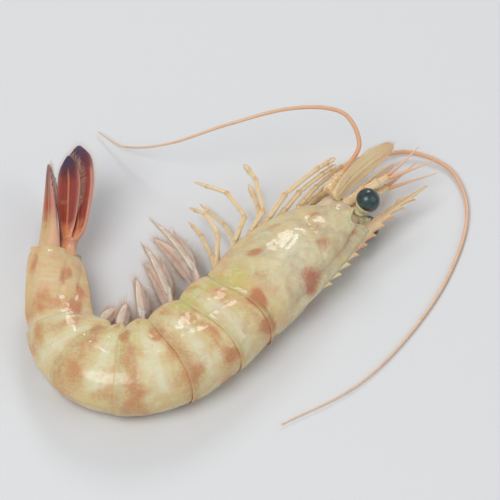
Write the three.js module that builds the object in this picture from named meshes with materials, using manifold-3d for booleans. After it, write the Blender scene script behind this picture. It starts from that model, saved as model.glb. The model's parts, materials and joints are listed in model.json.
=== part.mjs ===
// A raw caramote prawn, curled up and lying on its right flank with its left flank uppermost.
// Millimetres, +Z up. In plan the head points away and to the right, the tail fan lies at the left,
// and the belly with its limbs is inside the curl.
//
// A place on the animal is written [along, dorsal, side]:
//   along   distance tailwards of the carapace's rear edge, negative towards the head
//   dorsal  distance from the body's axis towards the back, negative towards the belly
//   side    distance from the axis towards the left flank, negative towards the right one
import * as THREE from "three";
import { mergeVertices } from "three/addons/utils/BufferGeometryUtils.js";
import Module from "manifold-3d";

const wasm = await Module();
wasm.setup();

const { degToRad, lerp } = THREE.MathUtils;

// ---- driving dimensions ----

const CARAPACE_LENGTH = 48; // eye socket to rear edge
const ROSTRUM_TIP = 74; // ahead of the carapace's rear edge
const HEAD_TO_TAIL_HEADING = 230; // degrees from +X, the way the carapace points tailwards
const SOMITES = [
  // the six rings of the tail meat, and how far each bends the body towards the belly, in degrees
  { length: 13, bend: 4 },
  { length: 15, bend: 14 },
  { length: 15.5, bend: 38 },
  { length: 13.5, bend: 42 },
  { length: 13, bend: 30 },
  { length: 26, bend: 12 },
];
const PLEATED_SOMITES = 5; // the ones that carry swimmerets
const SHELL_GAP = 0.8; // between one shell ring and the next
const CLEAR = 0.6; // between a limb and what carries it
const LOWER_SQUEEZE = 0.85; // how far the limbs underneath are pressed towards the middle
const TELSON_LENGTH = 27;
const REAR_LEAN = 0.4; // how far the last somite's rear edge runs back for each millimetre towards the back
const EYE_RADIUS = 3.6;
const SHELL_EDGE = 0.62; // half width at the shell's lower edge, over the widest half width
const BELLY_INSET = 0.78; // depth of the belly between the shell's edges, over their depth

// Sizes along the body, as [along, size]: half the width, and the reach from the axis to the back and to the
// shell's lower edges
const HALF_WIDTH = track([
  [-48, 5.2], [-38, 8.2], [-22, 10.6], [0, 10.4], [30, 10.6], [50, 9.8], [71, 7.8], [96, 5.4],
]);
const BACK = track([
  [-48, 7.6], [-37, 10.4], [-15, 12.6], [0, 12.6], [25, 13.2], [50, 12.4], [72, 10.2], [96, 8],
]);
const SHELL_DEPTH = track([
  [-48, 6], [-40, 9.6], [-28, 12.6], [-14, 14], [0, 13.2], [30, 13.4], [50, 12.2], [72, 9.6], [96, 7.4],
]);
// The axis's height over the surface that the prawn lies on, and the turn of the back upwards, in degrees
const AXIS_HEIGHT = track([[-48, 9.8], [0, 9.7], [30, 9.7], [50, 8.9], [72, 7.8], [96, 11.5], [124, 20]]);
const TWIST = track([[58, 0], [72, 6], [96, 32], [124, 46]]);

const COLOURS = {
  shell: { color: 0xdcca9c, roughness: 0.32 },
  tail_fan: { color: 0x9c5640, roughness: 0.35 },
  limb: { color: 0xdcb98c, roughness: 0.4 },
  swimmeret: { color: 0xd9c2ae, roughness: 0.4 },
  eye: { color: 0x2b3b3a, roughness: 0.12 },
  feeler: { color: 0xd8a184, roughness: 0.45 },
};

// ---- the body's axis and the places round it ----

// A smooth track through [x, y] stations, level beyond both ends.
function track(stations) {
  const last = stations.length - 1;
  const slope = (i) => {
    const [x0, y0] = stations[Math.max(i - 1, 0)];
    const [x1, y1] = stations[Math.min(i + 1, last)];
    return (y1 - y0) / (x1 - x0);
  };
  return (x) => {
    if (x <= stations[0][0]) return stations[0][1];
    if (x >= stations[last][0]) return stations[last][1];
    const i = stations.findIndex(([end]) => end > x) - 1;
    const [x0, y0] = stations[i];
    const [x1, y1] = stations[i + 1];
    const h = x1 - x0;
    const t = (x - x0) / h;
    const s = 1 - t;
    const fromStart = (1 + 2 * t) * y0 + t * h * slope(i);
    const fromEnd = (1 + 2 * s) * y1 - s * h * slope(i + 1);
    return s * s * fromStart + t * t * fromEnd;
  };
}

// The axis in plan: straight under the carapace, then one arc for each somite, then straight again.
function axisInPlan(along) {
  let heading = degToRad(HEAD_TO_TAIL_HEADING);
  let x = 0;
  let y = 0;
  let left = along;
  for (const { length, bend } of SOMITES) {
    if (left <= 0) break;
    const run = Math.min(left, length);
    const turn = (-degToRad(bend) * run) / length;
    const chord = ((2 * run) / turn) * Math.sin(turn / 2);
    x += chord * Math.cos(heading + turn / 2);
    y += chord * Math.sin(heading + turn / 2);
    heading += turn;
    left -= run;
  }
  if (along <= 0 || left > 0) {
    x += left * Math.cos(heading);
    y += left * Math.sin(heading);
  }
  return { x, y, heading };
}

function axisPoint(along) {
  const { x, y } = axisInPlan(along);
  return new THREE.Vector3(x, y, AXIS_HEIGHT(along));
}

// The axis point at a distance along the body, with the directions of the tail, the back and the left flank.
function frameAt(along) {
  const reach = 0.25;
  const tail = axisPoint(along + reach).sub(axisPoint(along - reach)).normalize();
  const { heading } = axisInPlan(along);
  const outwards = new THREE.Vector3(-Math.sin(heading), Math.cos(heading), 0);
  const up = tail.clone().cross(outwards).normalize();
  const out = up.clone().cross(tail);
  const twist = degToRad(TWIST(along));
  return {
    at: axisPoint(along),
    tail,
    back: out.clone().multiplyScalar(Math.cos(twist)).addScaledVector(up, Math.sin(twist)),
    flank: up.multiplyScalar(Math.cos(twist)).addScaledVector(out, -Math.sin(twist)),
  };
}

function place([along, dorsal, side], frame = frameAt(along)) {
  return frame.at.clone().addScaledVector(frame.back, dorsal).addScaledVector(frame.flank, side);
}

// A side distance on the left (sign 1) or on the right (sign -1), where the limbs are pressed in.
const sideways = (sign, distance) => (sign > 0 ? distance : -distance * LOWER_SQUEEZE);

// ---- solids ----

// The closed skin over a row of rings of points, each ring turning anticlockwise about the way the row runs.
function skin(rings) {
  const count = rings[0].length;
  const middle = (ring) => ring.reduce((sum, p) => sum.add(p), new THREE.Vector3()).divideScalar(count);
  const points = [...rings.flat(), middle(rings[0]), middle(rings.at(-1))];
  const first = rings.length * count;
  const faces = [];
  for (let j = 0; j < count; j++) {
    const next = (j + 1) % count;
    for (let i = 0; i < rings.length - 1; i++) {
      const a = i * count;
      const b = a + count;
      faces.push(a + j, a + next, b + next, a + j, b + next, b + j);
    }
    const end = first - count;
    faces.push(first, next, j, first + 1, end + j, end + next);
  }
  const geometry = new THREE.BufferGeometry().setFromPoints(points);
  geometry.setIndex(faces);
  return geometry;
}

// A limb or blade along a curve: an oval whose half width lies towards `across`.
function sweep(points, { across, halfWidth, halfThickness = halfWidth, steps = 8, sides = 8 }) {
  const curve = new THREE.CatmullRomCurve3(points, false, "centripetal");
  const rings = [];
  for (let i = 0; i <= steps; i++) {
    const t = i / steps;
    const middle = curve.getPointAt(t);
    const way = curve.getTangentAt(t);
    const wide = across.clone().addScaledVector(way, -across.dot(way)).normalize();
    const thick = way.clone().cross(wide);
    rings.push(
      Array.from({ length: sides }, (_, k) => {
        const angle = (2 * Math.PI * k) / sides;
        return middle
          .clone()
          .addScaledVector(wide, halfWidth(t) * Math.cos(angle))
          .addScaledVector(thick, halfThickness(t) * Math.sin(angle));
      }),
    );
  }
  return skin(rings);
}

function toSolid(geometry) {
  const bare = geometry.clone();
  bare.deleteAttribute("normal");
  bare.deleteAttribute("uv");
  const merged = mergeVertices(bare, 1e-3);
  return new wasm.Manifold(
    new wasm.Mesh({
      numProp: 3,
      vertProperties: new Float32Array(merged.attributes.position.array),
      triVerts: new Uint32Array(merged.index.array),
    }),
  );
}

// Several geometries joined into one closed one.
function joined(...geometries) {
  const { numProp, vertProperties, triVerts } = geometries
    .map(toSolid)
    .reduce((whole, piece) => whole.add(piece))
    .getMesh();
  const points = Float32Array.from(vertProperties).filter((_, i) => i % numProp < 3);
  const geometry = new THREE.BufferGeometry();
  geometry.setAttribute("position", new THREE.BufferAttribute(points, 3));
  geometry.setIndex(new THREE.BufferAttribute(Uint32Array.from(triVerts), 1));
  return geometry;
}

// ---- the shell rings ----

const UPPER_STEPS = 6;
const FLANK_STEPS = 4;

// One cross-section of the shelled body: a round back, flanks that draw in to the shell's lower edges, and a
// belly sunk between them. What would reach below the surface it lies on is pressed flat.
function shellRing(along, { grow = 0, lobe = 0, scale = 1, lean = 0 } = {}) {
  const half = (HALF_WIDTH(along) + grow) * scale;
  const back = (BACK(along) + grow) * scale;
  const depth = (SHELL_DEPTH(along) + lobe) * scale;
  const outline = [];
  for (let i = 0; i <= UPPER_STEPS; i++) {
    const angle = ((Math.PI / 2) * i) / UPPER_STEPS;
    outline.push([back * Math.cos(angle) ** 0.9, half * Math.sin(angle) ** 0.9]);
  }
  for (let i = 1; i <= FLANK_STEPS; i++) {
    const drop = i / FLANK_STEPS;
    outline.push([-depth * drop, half * (1 - (1 - SHELL_EDGE) * drop ** 2)]);
  }
  const belly = (SHELL_DEPTH(along) * BELLY_INSET + grow) * scale;
  outline.push([-belly, half * SHELL_EDGE * 0.7], [-belly * 0.95, 0]);
  const mirrored = outline.slice(1, -1).reverse().map(([dorsal, side]) => [dorsal, -side]);
  const frame = frameAt(along);
  return [...outline, ...mirrored].map(([dorsal, side]) => {
    const point = place([along, dorsal, side], frame).addScaledVector(frame.tail, lean * dorsal);
    point.z = Math.max(point.z, 0);
    return point;
  });
}

// One somite: sunk in front, where the ring ahead covers it, and flared behind, with a lobed lower edge.
function somite(index) {
  const start = SOMITES.slice(0, index).reduce((sum, { length }) => sum + length, 0);
  const length = SOMITES[index].length - SHELL_GAP;
  const lobe = index < PLEATED_SOMITES ? 1.8 : 0.6;
  const steps = Math.round(length / 3);
  const rings = [];
  for (let i = 0; i <= steps; i++) {
    const t = i / steps;
    rings.push(
      shellRing(start + SHELL_GAP + length * t, {
        grow: lerp(-0.8, 0.3, t ** 0.6),
        lobe: lobe * Math.sin(Math.PI * t) - 0.6,
        lean: index < PLEATED_SOMITES ? 0 : REAR_LEAN * t ** 2,
      }),
    );
  }
  return skin(rings);
}

// The rostrum, a flat blade: a toothed upper line, a keel with one tooth, and a root inside the carapace.
function rostrumBlade() {
  const crest = track([[10, 12.7], [28, 12.8], [44, 11.4], [60, 10.8], [ROSTRUM_TIP, 12.2]]);
  const keel = track([[42, 6.6], [58, 7.9], [ROSTRUM_TIP, 11.4]]);
  const rootDepth = 6;
  const teeth = 10;
  const pitch = 4.6;
  const firstTooth = 22;
  const toothHeight = 1.5;
  const outline = [[10, rootDepth], [10, crest(10)]];
  for (let i = 0; i < teeth; i++) {
    const foot = firstTooth + pitch * i;
    const tip = foot + 0.75 * pitch;
    outline.push([foot, crest(foot)], [tip, crest(tip) + toothHeight], [tip + 0.3, crest(tip + 0.3)]);
  }
  outline.push([ROSTRUM_TIP, crest(ROSTRUM_TIP)], [ROSTRUM_TIP - 8, keel(ROSTRUM_TIP - 8)]);
  outline.push([ROSTRUM_TIP - 8.6, keel(ROSTRUM_TIP - 8) - 1.1], [ROSTRUM_TIP - 12, keel(ROSTRUM_TIP - 12)]);
  outline.push([52, keel(52)], [42, keel(42)], [42, rootDepth]);
  const thickness = 1.9;
  const shape = new THREE.Shape(outline.map(([ahead, dorsal]) => new THREE.Vector2(ahead, dorsal)));
  const blade = new THREE.ExtrudeGeometry(shape, { depth: thickness, bevelEnabled: false });
  blade.translate(0, 0, -thickness / 2);
  const { at, tail, back, flank } = frameAt(0);
  const standing = new THREE.Matrix4().makeBasis(tail.negate(), back, flank.negate()).setPosition(at);
  return blade.applyMatrix4(standing);
}

function carapace() {
  const rings = [];
  const steps = 12;
  rings.push(shellRing(-CARAPACE_LENGTH - 1.5, { scale: 0.55 }));
  for (let i = 0; i <= steps; i++) {
    const along = lerp(-CARAPACE_LENGTH, 0, i / steps);
    rings.push(shellRing(along, { grow: i === steps ? 0.3 : 0 }));
  }
  return joined(skin(rings), rostrumBlade());
}

// ---- head pieces ----

// A stalked eye, turned to point out and forward.
function eye(sign) {
  const foot = place([-CARAPACE_LENGTH - 3, 3.4, sideways(sign, 2.3)]);
  const centre = place([-CARAPACE_LENGTH - 5.6, 5.2, sideways(sign, 7)]);
  const stalk = centre.distanceTo(foot);
  const stalkRadius = 1.5;
  const outline = [new THREE.Vector2(0, 0), new THREE.Vector2(stalkRadius, 0)];
  const meet = Math.asin(stalkRadius / EYE_RADIUS) + 0.15;
  const steps = 9;
  for (let i = 0; i <= steps; i++) {
    const angle = lerp(meet, Math.PI, i / steps);
    outline.push(new THREE.Vector2(EYE_RADIUS * Math.sin(angle), stalk - EYE_RADIUS * Math.cos(angle)));
  }
  outline.at(-1).x = 0;
  const geometry = new THREE.LatheGeometry(outline, 14);
  const upright = new THREE.Vector3(0, 1, 0);
  const turn = new THREE.Quaternion().setFromUnitVectors(upright, centre.sub(foot).normalize());
  return geometry.applyQuaternion(turn).translate(foot.x, foot.y, foot.z);
}

// The antennal scale: a leaf-shaped blade beneath the eye, its outer edge a little lowered.
function antennalScale(sign) {
  const path = [[49, -4.3, 5.2], [56, -4.9, 5.8], [66, -4.6, 6], [76, -3.4, 5]];
  const { back, flank } = frameAt(-CARAPACE_LENGTH);
  return sweep(path.map(([ahead, dorsal, side]) => place([-ahead, dorsal, sideways(sign, side)])), {
    across: flank.multiplyScalar(0.97 * sign).addScaledVector(back, -0.24),
    halfWidth: track([[0, 1.6], [0.25, 3.4], [0.6, 3.9], [0.85, 2.8], [1, 1]]),
    halfThickness: track([[0, 0.8], [0.3, 0.5], [1, 0.35]]),
    steps: 8,
    sides: 8,
  });
}

// The antennule: a stout stem that forks into two short whips.
function antennule(sign) {
  const { flank } = frameAt(-CARAPACE_LENGTH);
  const at = (ahead, dorsal, side) => place([-ahead, dorsal, sideways(sign, side)]);
  const stem = sweep([at(50.1, -1.6, 2.5), at(57, -0.7, 2.6), at(64, 0.9, 2.6), at(67, 1.8, 2.6)], {
    across: flank,
    halfWidth: track([[0, 1.8], [0.5, 1.6], [1, 1.3]]),
    steps: 6,
  });
  const whips = [2.2, -1.2].map((lift) =>
    sweep([at(65.5, 1.4 + 0.15 * lift, 2.6), at(73, 3 + lift, 2.9), at(82, 4.6 + 2.2 * lift, 3.6)], {
      across: flank,
      halfWidth: track([[0, 0.8], [0.4, 0.6], [1, 0.3]]),
      sides: 6,
      steps: 5,
    }),
  );
  return joined(stem, ...whips);
}

// The antenna: a thick stem and one long whip. The whips' routes are chosen by hand, as [x, y, z] from the
// place on the surface under the axis at the carapace's rear edge.
const ANTENNA_ROUTES = {
  left: [[36, 58, 19], [31, 67, 23], [16, 68, 24], [-4, 64, 21], [-22, 64, 12], [-36, 70, 3.5], [-44, 78, 1]],
  right: [
    [36, 60, 4.5], [50, 69, 2.2], [64, 63, 1.1], [69, 46, 0.9], [63, 22, 0.9], [50, -2, 0.9], [34, -21, 0.9],
    [12, -35, 0.9],
  ],
};

function antenna(sign, route) {
  const at = (ahead, dorsal, side) => place([-ahead, dorsal, sideways(sign, side)]);
  const stem = [at(50.2, -7.6, 4.4), at(54, -8.2, 4.6), at(57, -8.6, 4.6)];
  return sweep([...stem, ...route.map((point) => new THREE.Vector3(...point))], {
    across: new THREE.Vector3(0, 0, 1),
    halfWidth: track([[0, 1.9], [0.035, 1.8], [0.06, 1.1], [0.1, 0.85], [0.5, 0.6], [1, 0.4]]),
    steps: 28,
    sides: 5,
  });
}

// ---- jointed limbs under the head ----

// The walking legs from the front pair to the rear: where each starts ahead of the carapace's rear edge, its
// links' lengths, and their leans on each side in degrees, 0 pointing ahead and 90 straight out of the belly.
const LEGS = [
  { ahead: 33, links: [11, 10, 5.5], left: [2, -6, -8], right: [0, -7, -9], splay: [5.2, 5.6, 5.2] },
  { ahead: 26, links: [13, 14, 7], left: [3, -6, -8], right: [8, -3, -6], splay: [7.9, 8.5, 7.6] },
  { ahead: 19.5, links: [11, 12, 8], left: [8, 52, 66], right: [16, 42, 60], splay: [7, 7.6, 6] },
  { ahead: 13, links: [12, 10, 11], left: [18, 74, 106], right: [28, 66, 84], splay: [8, 9, 8.6] },
  { ahead: 6.5, links: [11, 9, 6], left: [38, 66, 96], right: [48, 62, 80], splay: [6, 5.6, 4.4] },
];
const MAXILLIPED = {
  ahead: 40.5,
  links: [10, 11, 7],
  left: [4, -4, -14],
  right: [2, -6, -16],
  splay: [2.8, 2.8, 2.4],
};
const HIP_LENGTH = 3.6;
const HIP_SPLAY = [2.2, 2.6]; // distances from the middle at the hip's two ends
const LIMB_RADIUS = track([[0, 1.2], [0.3, 1.2], [0.6, 0.85], [0.85, 0.8], [1, 0.3]]);

// A limb of straight links with rounded knees, ending in a point.
function jointedLimb({ ahead, links, splay, ...leans }, hand, thickness) {
  const sign = hand === "left" ? 1 : -1;
  const corners = [[ahead, SHELL_DEPTH(-ahead) * BELLY_INSET + CLEAR]];
  [HIP_LENGTH, ...links].forEach((length, i) => {
    const lean = degToRad([90, ...leans[hand]][i]);
    const [forward, depth] = corners[i];
    corners.push([forward + length * Math.cos(lean), depth + length * Math.sin(lean)]);
  });
  const points = corners.map(([f, d], i) => place([-f, -d, sideways(sign, [...HIP_SPLAY, ...splay][i])]));
  const route = [points[0]];
  points.slice(1).forEach((point, i) => {
    const end = i === links.length ? 1 : 0.88;
    route.push(points[i].clone().lerp(point, 0.12 + 0.38 * end), points[i].clone().lerp(point, end));
  });
  return sweep(route, {
    across: frameAt(-ahead).flank,
    halfWidth: (t) => thickness * LIMB_RADIUS(t),
    steps: 11,
    sides: 6,
  });
}

// The swimmerets, from the front pair to the rear: the way each leaves the belly in plan, in degrees from +X,
// how far it curls towards the tail, and its length.
const SWIMMERETS = [
  { heading: 92, curl: 44, length: 33 },
  { heading: 86, curl: 36, length: 30 },
  { heading: 78, curl: 26, length: 22 },
  { heading: 62, curl: 20, length: 14 },
  { heading: 42, curl: 12, length: 10 },
];

// A swimmeret: a stout stem with a long and a short paddle, inside the curl.
function swimmeret(index, sign) {
  const start = SOMITES.slice(0, index).reduce((sum, { length }) => sum + length, 0);
  const along = start + 0.5 * SOMITES[index].length;
  const { flank } = frameAt(along);
  const depth = SHELL_DEPTH(along) * BELLY_INSET + CLEAR;
  const foot = place([along, -depth, sideways(sign, 0.28 * HALF_WIDTH(along))]);
  const { heading, curl, length } = SWIMMERETS[index];
  const at = (reach, lift, bow = 0) => {
    const turn = degToRad(heading + (curl * reach) / 2 + bow);
    const way = new THREE.Vector3(Math.cos(turn), Math.sin(turn), 0);
    return foot.clone().addScaledVector(way, reach * length).addScaledVector(flank, sign * lift);
  };
  const stem = sweep([at(0, 0), at(0.2, 0.2), at(0.4, 0.5)], {
    across: flank,
    halfWidth: track([[0, 1.2], [0.5, 1.6], [1, 1.4]]),
    halfThickness: track([[0, 0.9], [1, 0.8]]),
    steps: 3,
    sides: 6,
  });
  const paddle = (reach, lift, bow, width) => {
    const root = [at(0.33, 0.4 * lift), at(0.55, 0.8 * lift, bow)];
    return sweep([...root, at(0.78 * reach, lift, bow), at(reach, lift, bow)], {
      across: flank,
      halfWidth: track([[0, 0.7 * width], [0.45, width], [0.8, 0.8 * width], [1, 0.3 * width]]),
      halfThickness: () => 0.45,
      steps: 4,
      sides: 6,
    });
  };
  return joined(stem, paddle(1, 1.2, 2, 1.7), paddle(0.84, -0.8, -4, 1.2));
}

// ---- the tail fan ----

const BODY_LENGTH = SOMITES.reduce((sum, { length }) => sum + length, 0);

// A blade of the fan: it starts behind the last somite's leaning rear edge and spreads a little on its way.
function fanBlade({ side, dorsal, spread, length, droop, halfWidth, halfThickness, sides = 8 }) {
  const { tail, flank, back } = frameAt(BODY_LENGTH);
  const clear = REAR_LEAN * (dorsal + halfThickness(0)) + CLEAR;
  const foot = place([BODY_LENGTH, dorsal, side]).addScaledVector(tail, clear);
  const way = tail.clone().multiplyScalar(Math.cos(spread)).addScaledVector(flank, Math.sin(spread));
  const at = (t) => foot.clone().addScaledVector(way, length * t).addScaledVector(back, droop * t * t);
  return sweep([at(0), at(0.35), at(0.7), at(1)], {
    across: flank,
    halfWidth,
    halfThickness,
    steps: 8,
    sides,
  });
}

const telson = () =>
  fanBlade({
    side: 0,
    dorsal: 2.4,
    spread: 0,
    length: TELSON_LENGTH,
    droop: 0.5,
    halfWidth: track([[0, 3.6], [0.25, 3.7], [0.7, 2], [1, 0.4]]),
    halfThickness: track([[0, 2.1], [0.3, 1.5], [1, 0.4]]),
    sides: 10,
  });

const innerUropod = (sign) =>
  fanBlade({
    side: sign * 3,
    dorsal: -1.9,
    spread: sign * degToRad(4.5),
    length: TELSON_LENGTH + 4,
    droop: 1.2,
    halfWidth: track([[0, 1.4], [0.2, 2.5], [0.65, 3.9], [0.9, 2.9], [1, 1.2]]),
    halfThickness: track([[0, 1.1], [0.3, 0.6], [1, 0.35]]),
  });

const outerUropod = (sign) =>
  fanBlade({
    side: sign * 3.6,
    dorsal: -4.9,
    spread: sign * degToRad(8),
    length: TELSON_LENGTH + 8,
    droop: 2.4,
    halfWidth: track([[0, 1.4], [0.2, 2.9], [0.65, 4.6], [0.9, 3.8], [1, 1.6]]),
    halfThickness: track([[0, 1.2], [0.3, 0.7], [1, 0.35]]),
  });

// ---- the whole prawn ----

const prawn = new THREE.Group();

function add(name, geometry, look) {
  geometry.computeVertexNormals();
  const mesh = new THREE.Mesh(geometry, new THREE.MeshStandardMaterial({ ...COLOURS[look], metalness: 0 }));
  mesh.name = name;
  prawn.add(mesh);
}

add("carapace", carapace(), "shell");
SOMITES.forEach((_, i) => add(`somite_${i + 1}`, somite(i), "shell"));
add("telson", telson(), "tail_fan");

for (const [hand, sign] of [["left", 1], ["right", -1]]) {
  add(`eye_${hand}`, eye(sign), "eye");
  add(`antennal_scale_${hand}`, antennalScale(sign), "shell");
  add(`antennule_${hand}`, antennule(sign), "limb");
  add(`antenna_${hand}`, antenna(sign, ANTENNA_ROUTES[hand]), "feeler");
  add(`maxilliped_${hand}`, jointedLimb(MAXILLIPED, hand, 0.85), "limb");
  LEGS.forEach((leg, i) => add(`leg_${hand}_${i + 1}`, jointedLimb(leg, hand, 1), "limb"));
  SWIMMERETS.forEach((_, i) => add(`swimmeret_${hand}_${i + 1}`, swimmeret(i, sign), "swimmeret"));
  add(`uropod_inner_${hand}`, innerUropod(sign), "tail_fan");
  add(`uropod_outer_${hand}`, outerUropod(sign), "tail_fan");
}

// The origin is at the middle of the prawn's plan, on the surface that it lies on.
const bounds = new THREE.Box3().setFromObject(prawn);
prawn.position.set(-(bounds.min.x + bounds.max.x) / 2, -(bounds.min.y + bounds.max.y) / 2, 0);

export default prawn;
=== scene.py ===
"""A raw caramote prawn, curled up on its right flank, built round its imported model.

A place on the animal is a distance along it, tailwards from the carapace's rear edge, with a distance from
its axis towards the back (dorsal) and one towards the left flank (side). Shapes are worked out on these in
millimetres and laid down in metres. Marks are numbers kept at a mesh's points, which the materials read.
"""
import json
import math

import bmesh
import bpy
import numpy as np
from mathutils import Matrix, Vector, noise


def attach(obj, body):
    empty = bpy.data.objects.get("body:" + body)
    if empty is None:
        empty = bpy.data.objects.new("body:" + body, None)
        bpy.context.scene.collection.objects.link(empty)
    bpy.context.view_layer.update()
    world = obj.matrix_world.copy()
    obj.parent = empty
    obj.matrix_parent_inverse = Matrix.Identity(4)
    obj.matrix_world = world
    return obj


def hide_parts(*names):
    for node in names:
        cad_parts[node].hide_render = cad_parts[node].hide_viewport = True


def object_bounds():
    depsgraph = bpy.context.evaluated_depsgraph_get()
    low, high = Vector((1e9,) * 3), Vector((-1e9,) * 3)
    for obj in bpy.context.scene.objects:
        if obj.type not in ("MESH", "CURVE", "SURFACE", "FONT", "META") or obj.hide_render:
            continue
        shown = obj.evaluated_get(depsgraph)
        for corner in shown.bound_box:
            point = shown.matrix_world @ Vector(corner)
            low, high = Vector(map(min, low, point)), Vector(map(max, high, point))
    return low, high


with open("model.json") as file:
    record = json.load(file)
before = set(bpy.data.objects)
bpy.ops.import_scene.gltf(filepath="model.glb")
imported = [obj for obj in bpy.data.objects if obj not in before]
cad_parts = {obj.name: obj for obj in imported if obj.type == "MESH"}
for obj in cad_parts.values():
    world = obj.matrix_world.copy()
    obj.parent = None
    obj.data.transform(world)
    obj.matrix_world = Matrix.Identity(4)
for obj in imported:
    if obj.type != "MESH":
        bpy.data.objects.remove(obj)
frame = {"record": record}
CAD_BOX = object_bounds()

bl_info = {
    "name": "Raw Caramote Prawn",
    "version": (1, 0, 0),
    "blender": (4, 5, 0),
    "location": "3D View > Sidebar > Prawn",
    "description": "Builds a whole raw prawn, curled up on its side",
    "category": "Object",
}

MM = 0.001
LOWEST_HAIR = 0.02    # hairs and whips that would reach the surface below lie down on it, this high
BODY = "root"
HANDS = (("left", 1), ("right", -1))


# ---- numbers along the body, in millimetres ----
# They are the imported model's own, so that each piece lies where its solid does.

def track(stations):
    """A smooth track through [x, y] stations, level beyond both ends."""
    x, y = np.array(stations, float).T
    near = np.clip(np.arange(len(x)) - 1, 0, None)
    far = np.clip(np.arange(len(x)) + 1, None, len(x) - 1)
    slope = (y[far] - y[near]) / (x[far] - x[near])

    def at(v):
        v = np.clip(v, x[0], x[-1])
        i = np.clip(np.searchsorted(x, v, side="right") - 1, 0, len(x) - 2)
        h = x[i + 1] - x[i]
        t = (v - x[i]) / h
        s = 1 - t
        start = (1 + 2 * t) * y[i] + t * h * slope[i]
        end = (1 + 2 * s) * y[i + 1] - s * h * slope[i + 1]
        return s * s * start + t * t * end

    return at


CARAPACE_LENGTH = 48          # eye socket to rear edge
ROSTRUM_TIP = 74              # ahead of the carapace's rear edge
HEADING = math.radians(230)   # from +X, the way the carapace points tailwards
SOMITE_LENGTHS = np.array([13, 15, 15.5, 13.5, 13, 26])
SOMITE_BENDS = np.radians([4, 14, 38, 42, 30, 12])
BODY_LENGTH = float(SOMITE_LENGTHS.sum())
PLEATED_SOMITES = 5           # the ones that carry swimmerets
LOWER_SQUEEZE = 0.85          # how far the limbs underneath are pressed towards the middle
EYE_RADIUS = 3.6
SHELL_EDGE = 0.62             # half width at the shell's lower edge, over the widest half width
BELLY_INSET = 0.78            # depth of the belly between the shell's edges, over their depth
REAR_LEAN = 0.4               # how far the last somite's rear edge runs back for each mm towards the back
CLEAR = 0.6                   # between the tail fan's blades and what carries them

# Half the body's width, and the reach from its axis to the back and to the shell's lower edges
HALF_WIDTH = track([
    (-48, 5.2), (-38, 8.2), (-22, 10.6), (0, 10.4), (30, 10.6), (50, 9.8), (71, 7.8), (96, 5.4),
])
BACK = track([
    (-48, 7.6), (-37, 10.4), (-15, 12.6), (0, 12.6), (25, 13.2), (50, 12.4), (72, 10.2), (96, 8),
])
SHELL_DEPTH = track([
    (-48, 6), (-40, 9.6), (-28, 12.6), (-14, 14), (0, 13.2), (30, 13.4), (50, 12.2), (72, 9.6), (96, 7.4),
])
# The axis's height over the surface below, and the turn of the back upwards in degrees
AXIS_HEIGHT = track([(-48, 9.8), (0, 9.7), (30, 9.7), (50, 8.9), (72, 7.8), (96, 11.5), (124, 20)])
TWIST = track([(58, 0), (72, 6), (96, 32), (124, 46)])


def unit(vectors):
    """The vectors, each made one long."""
    return vectors / np.linalg.norm(vectors, axis=-1, keepdims=True)


def smooth(low, high, value):
    """0 at low and short of it, 1 at high and beyond, and a smooth step between them."""
    t = np.clip((value - low) / (high - low), 0, 1)
    return t * t * (3 - 2 * t)


def bell(distance, width):
    """1 at no distance, falling away on both sides over about that width."""
    return np.exp(-((distance / width) ** 2))


def arc(x, y, heading, run, rate):
    """Where a run along an arc that turns at a steady rate ends, and the heading there."""
    turn = rate * run
    chord = run * np.sinc(turn / (2 * np.pi))
    return x + chord * np.cos(heading + turn / 2), y + chord * np.sin(heading + turn / 2), heading + turn


def arc_knots():
    """Where the carapace's straight and each somite's arc start in plan, and the heading there."""
    knots = [(0.0, 0.0, HEADING)] * 2
    for length, rate in zip(SOMITE_LENGTHS, RATES[1:]):
        knots.append(arc(*knots[-1], length, rate))
    return np.array(knots)


STARTS = np.concatenate([[0.0], np.cumsum(SOMITE_LENGTHS)])
RATES = np.concatenate([[0.0], -SOMITE_BENDS / SOMITE_LENGTHS, [0.0]])
ORIGINS = np.concatenate([[0.0], STARTS])
KNOTS = arc_knots()


def plan(along):
    """The axis in plan: straight under the carapace, an arc for each somite, then straight again."""
    i = np.searchsorted(STARTS, along, side="right")
    return arc(KNOTS[i, 0], KNOTS[i, 1], KNOTS[i, 2], along - ORIGINS[i], RATES[i])


REST_ALONG = -14.0            # the rest mount's place along the body


def plan_shift():
    """From the body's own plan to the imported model's, whose rest mount lies under the axis."""
    x, y, _ = plan(np.array(REST_ALONG))
    mount = frame["record"]["mounts"][0]["pos_m"]
    return np.array([mount[0] / MM - x, mount[1] / MM - y, 0.0])


SHIFT = plan_shift()


def axis(along):
    """The axis's points."""
    x, y, _ = plan(along)
    return np.stack([x, y, AXIS_HEIGHT(along)], -1) + SHIFT


def frames(along):
    """The axis's points, with the directions of the tail, the back and the left flank there."""
    along = np.asarray(along, float)
    nearby = 0.25
    tail = unit(axis(along + nearby) - axis(along - nearby))
    heading = plan(along)[2]
    outwards = np.stack([-np.sin(heading), np.cos(heading), 0 * heading], -1)
    up = unit(np.cross(tail, outwards))
    out = np.cross(up, tail)
    twist = np.radians(TWIST(along))[..., None]
    back = out * np.cos(twist) + up * np.sin(twist)
    flank = up * np.cos(twist) - out * np.sin(twist)
    return axis(along), tail, back, flank


def place(along, dorsal, side):
    """Points at places on the animal."""
    along, dorsal, side = np.broadcast_arrays(*(np.asarray(v, float) for v in (along, dorsal, side)))
    at, _, back, flank = frames(along)
    return at + back * dorsal[..., None] + flank * side[..., None]


def sideways(side, sign):
    """A distance towards one flank, pressed towards the middle on the right, lower one."""
    return side if sign > 0 else -side * LOWER_SQUEEZE


def ahead_of(ahead, dorsal, side, sign):
    """A point on one flank, ahead of the carapace's rear edge."""
    return place(-ahead, dorsal, sideways(side, sign))


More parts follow.
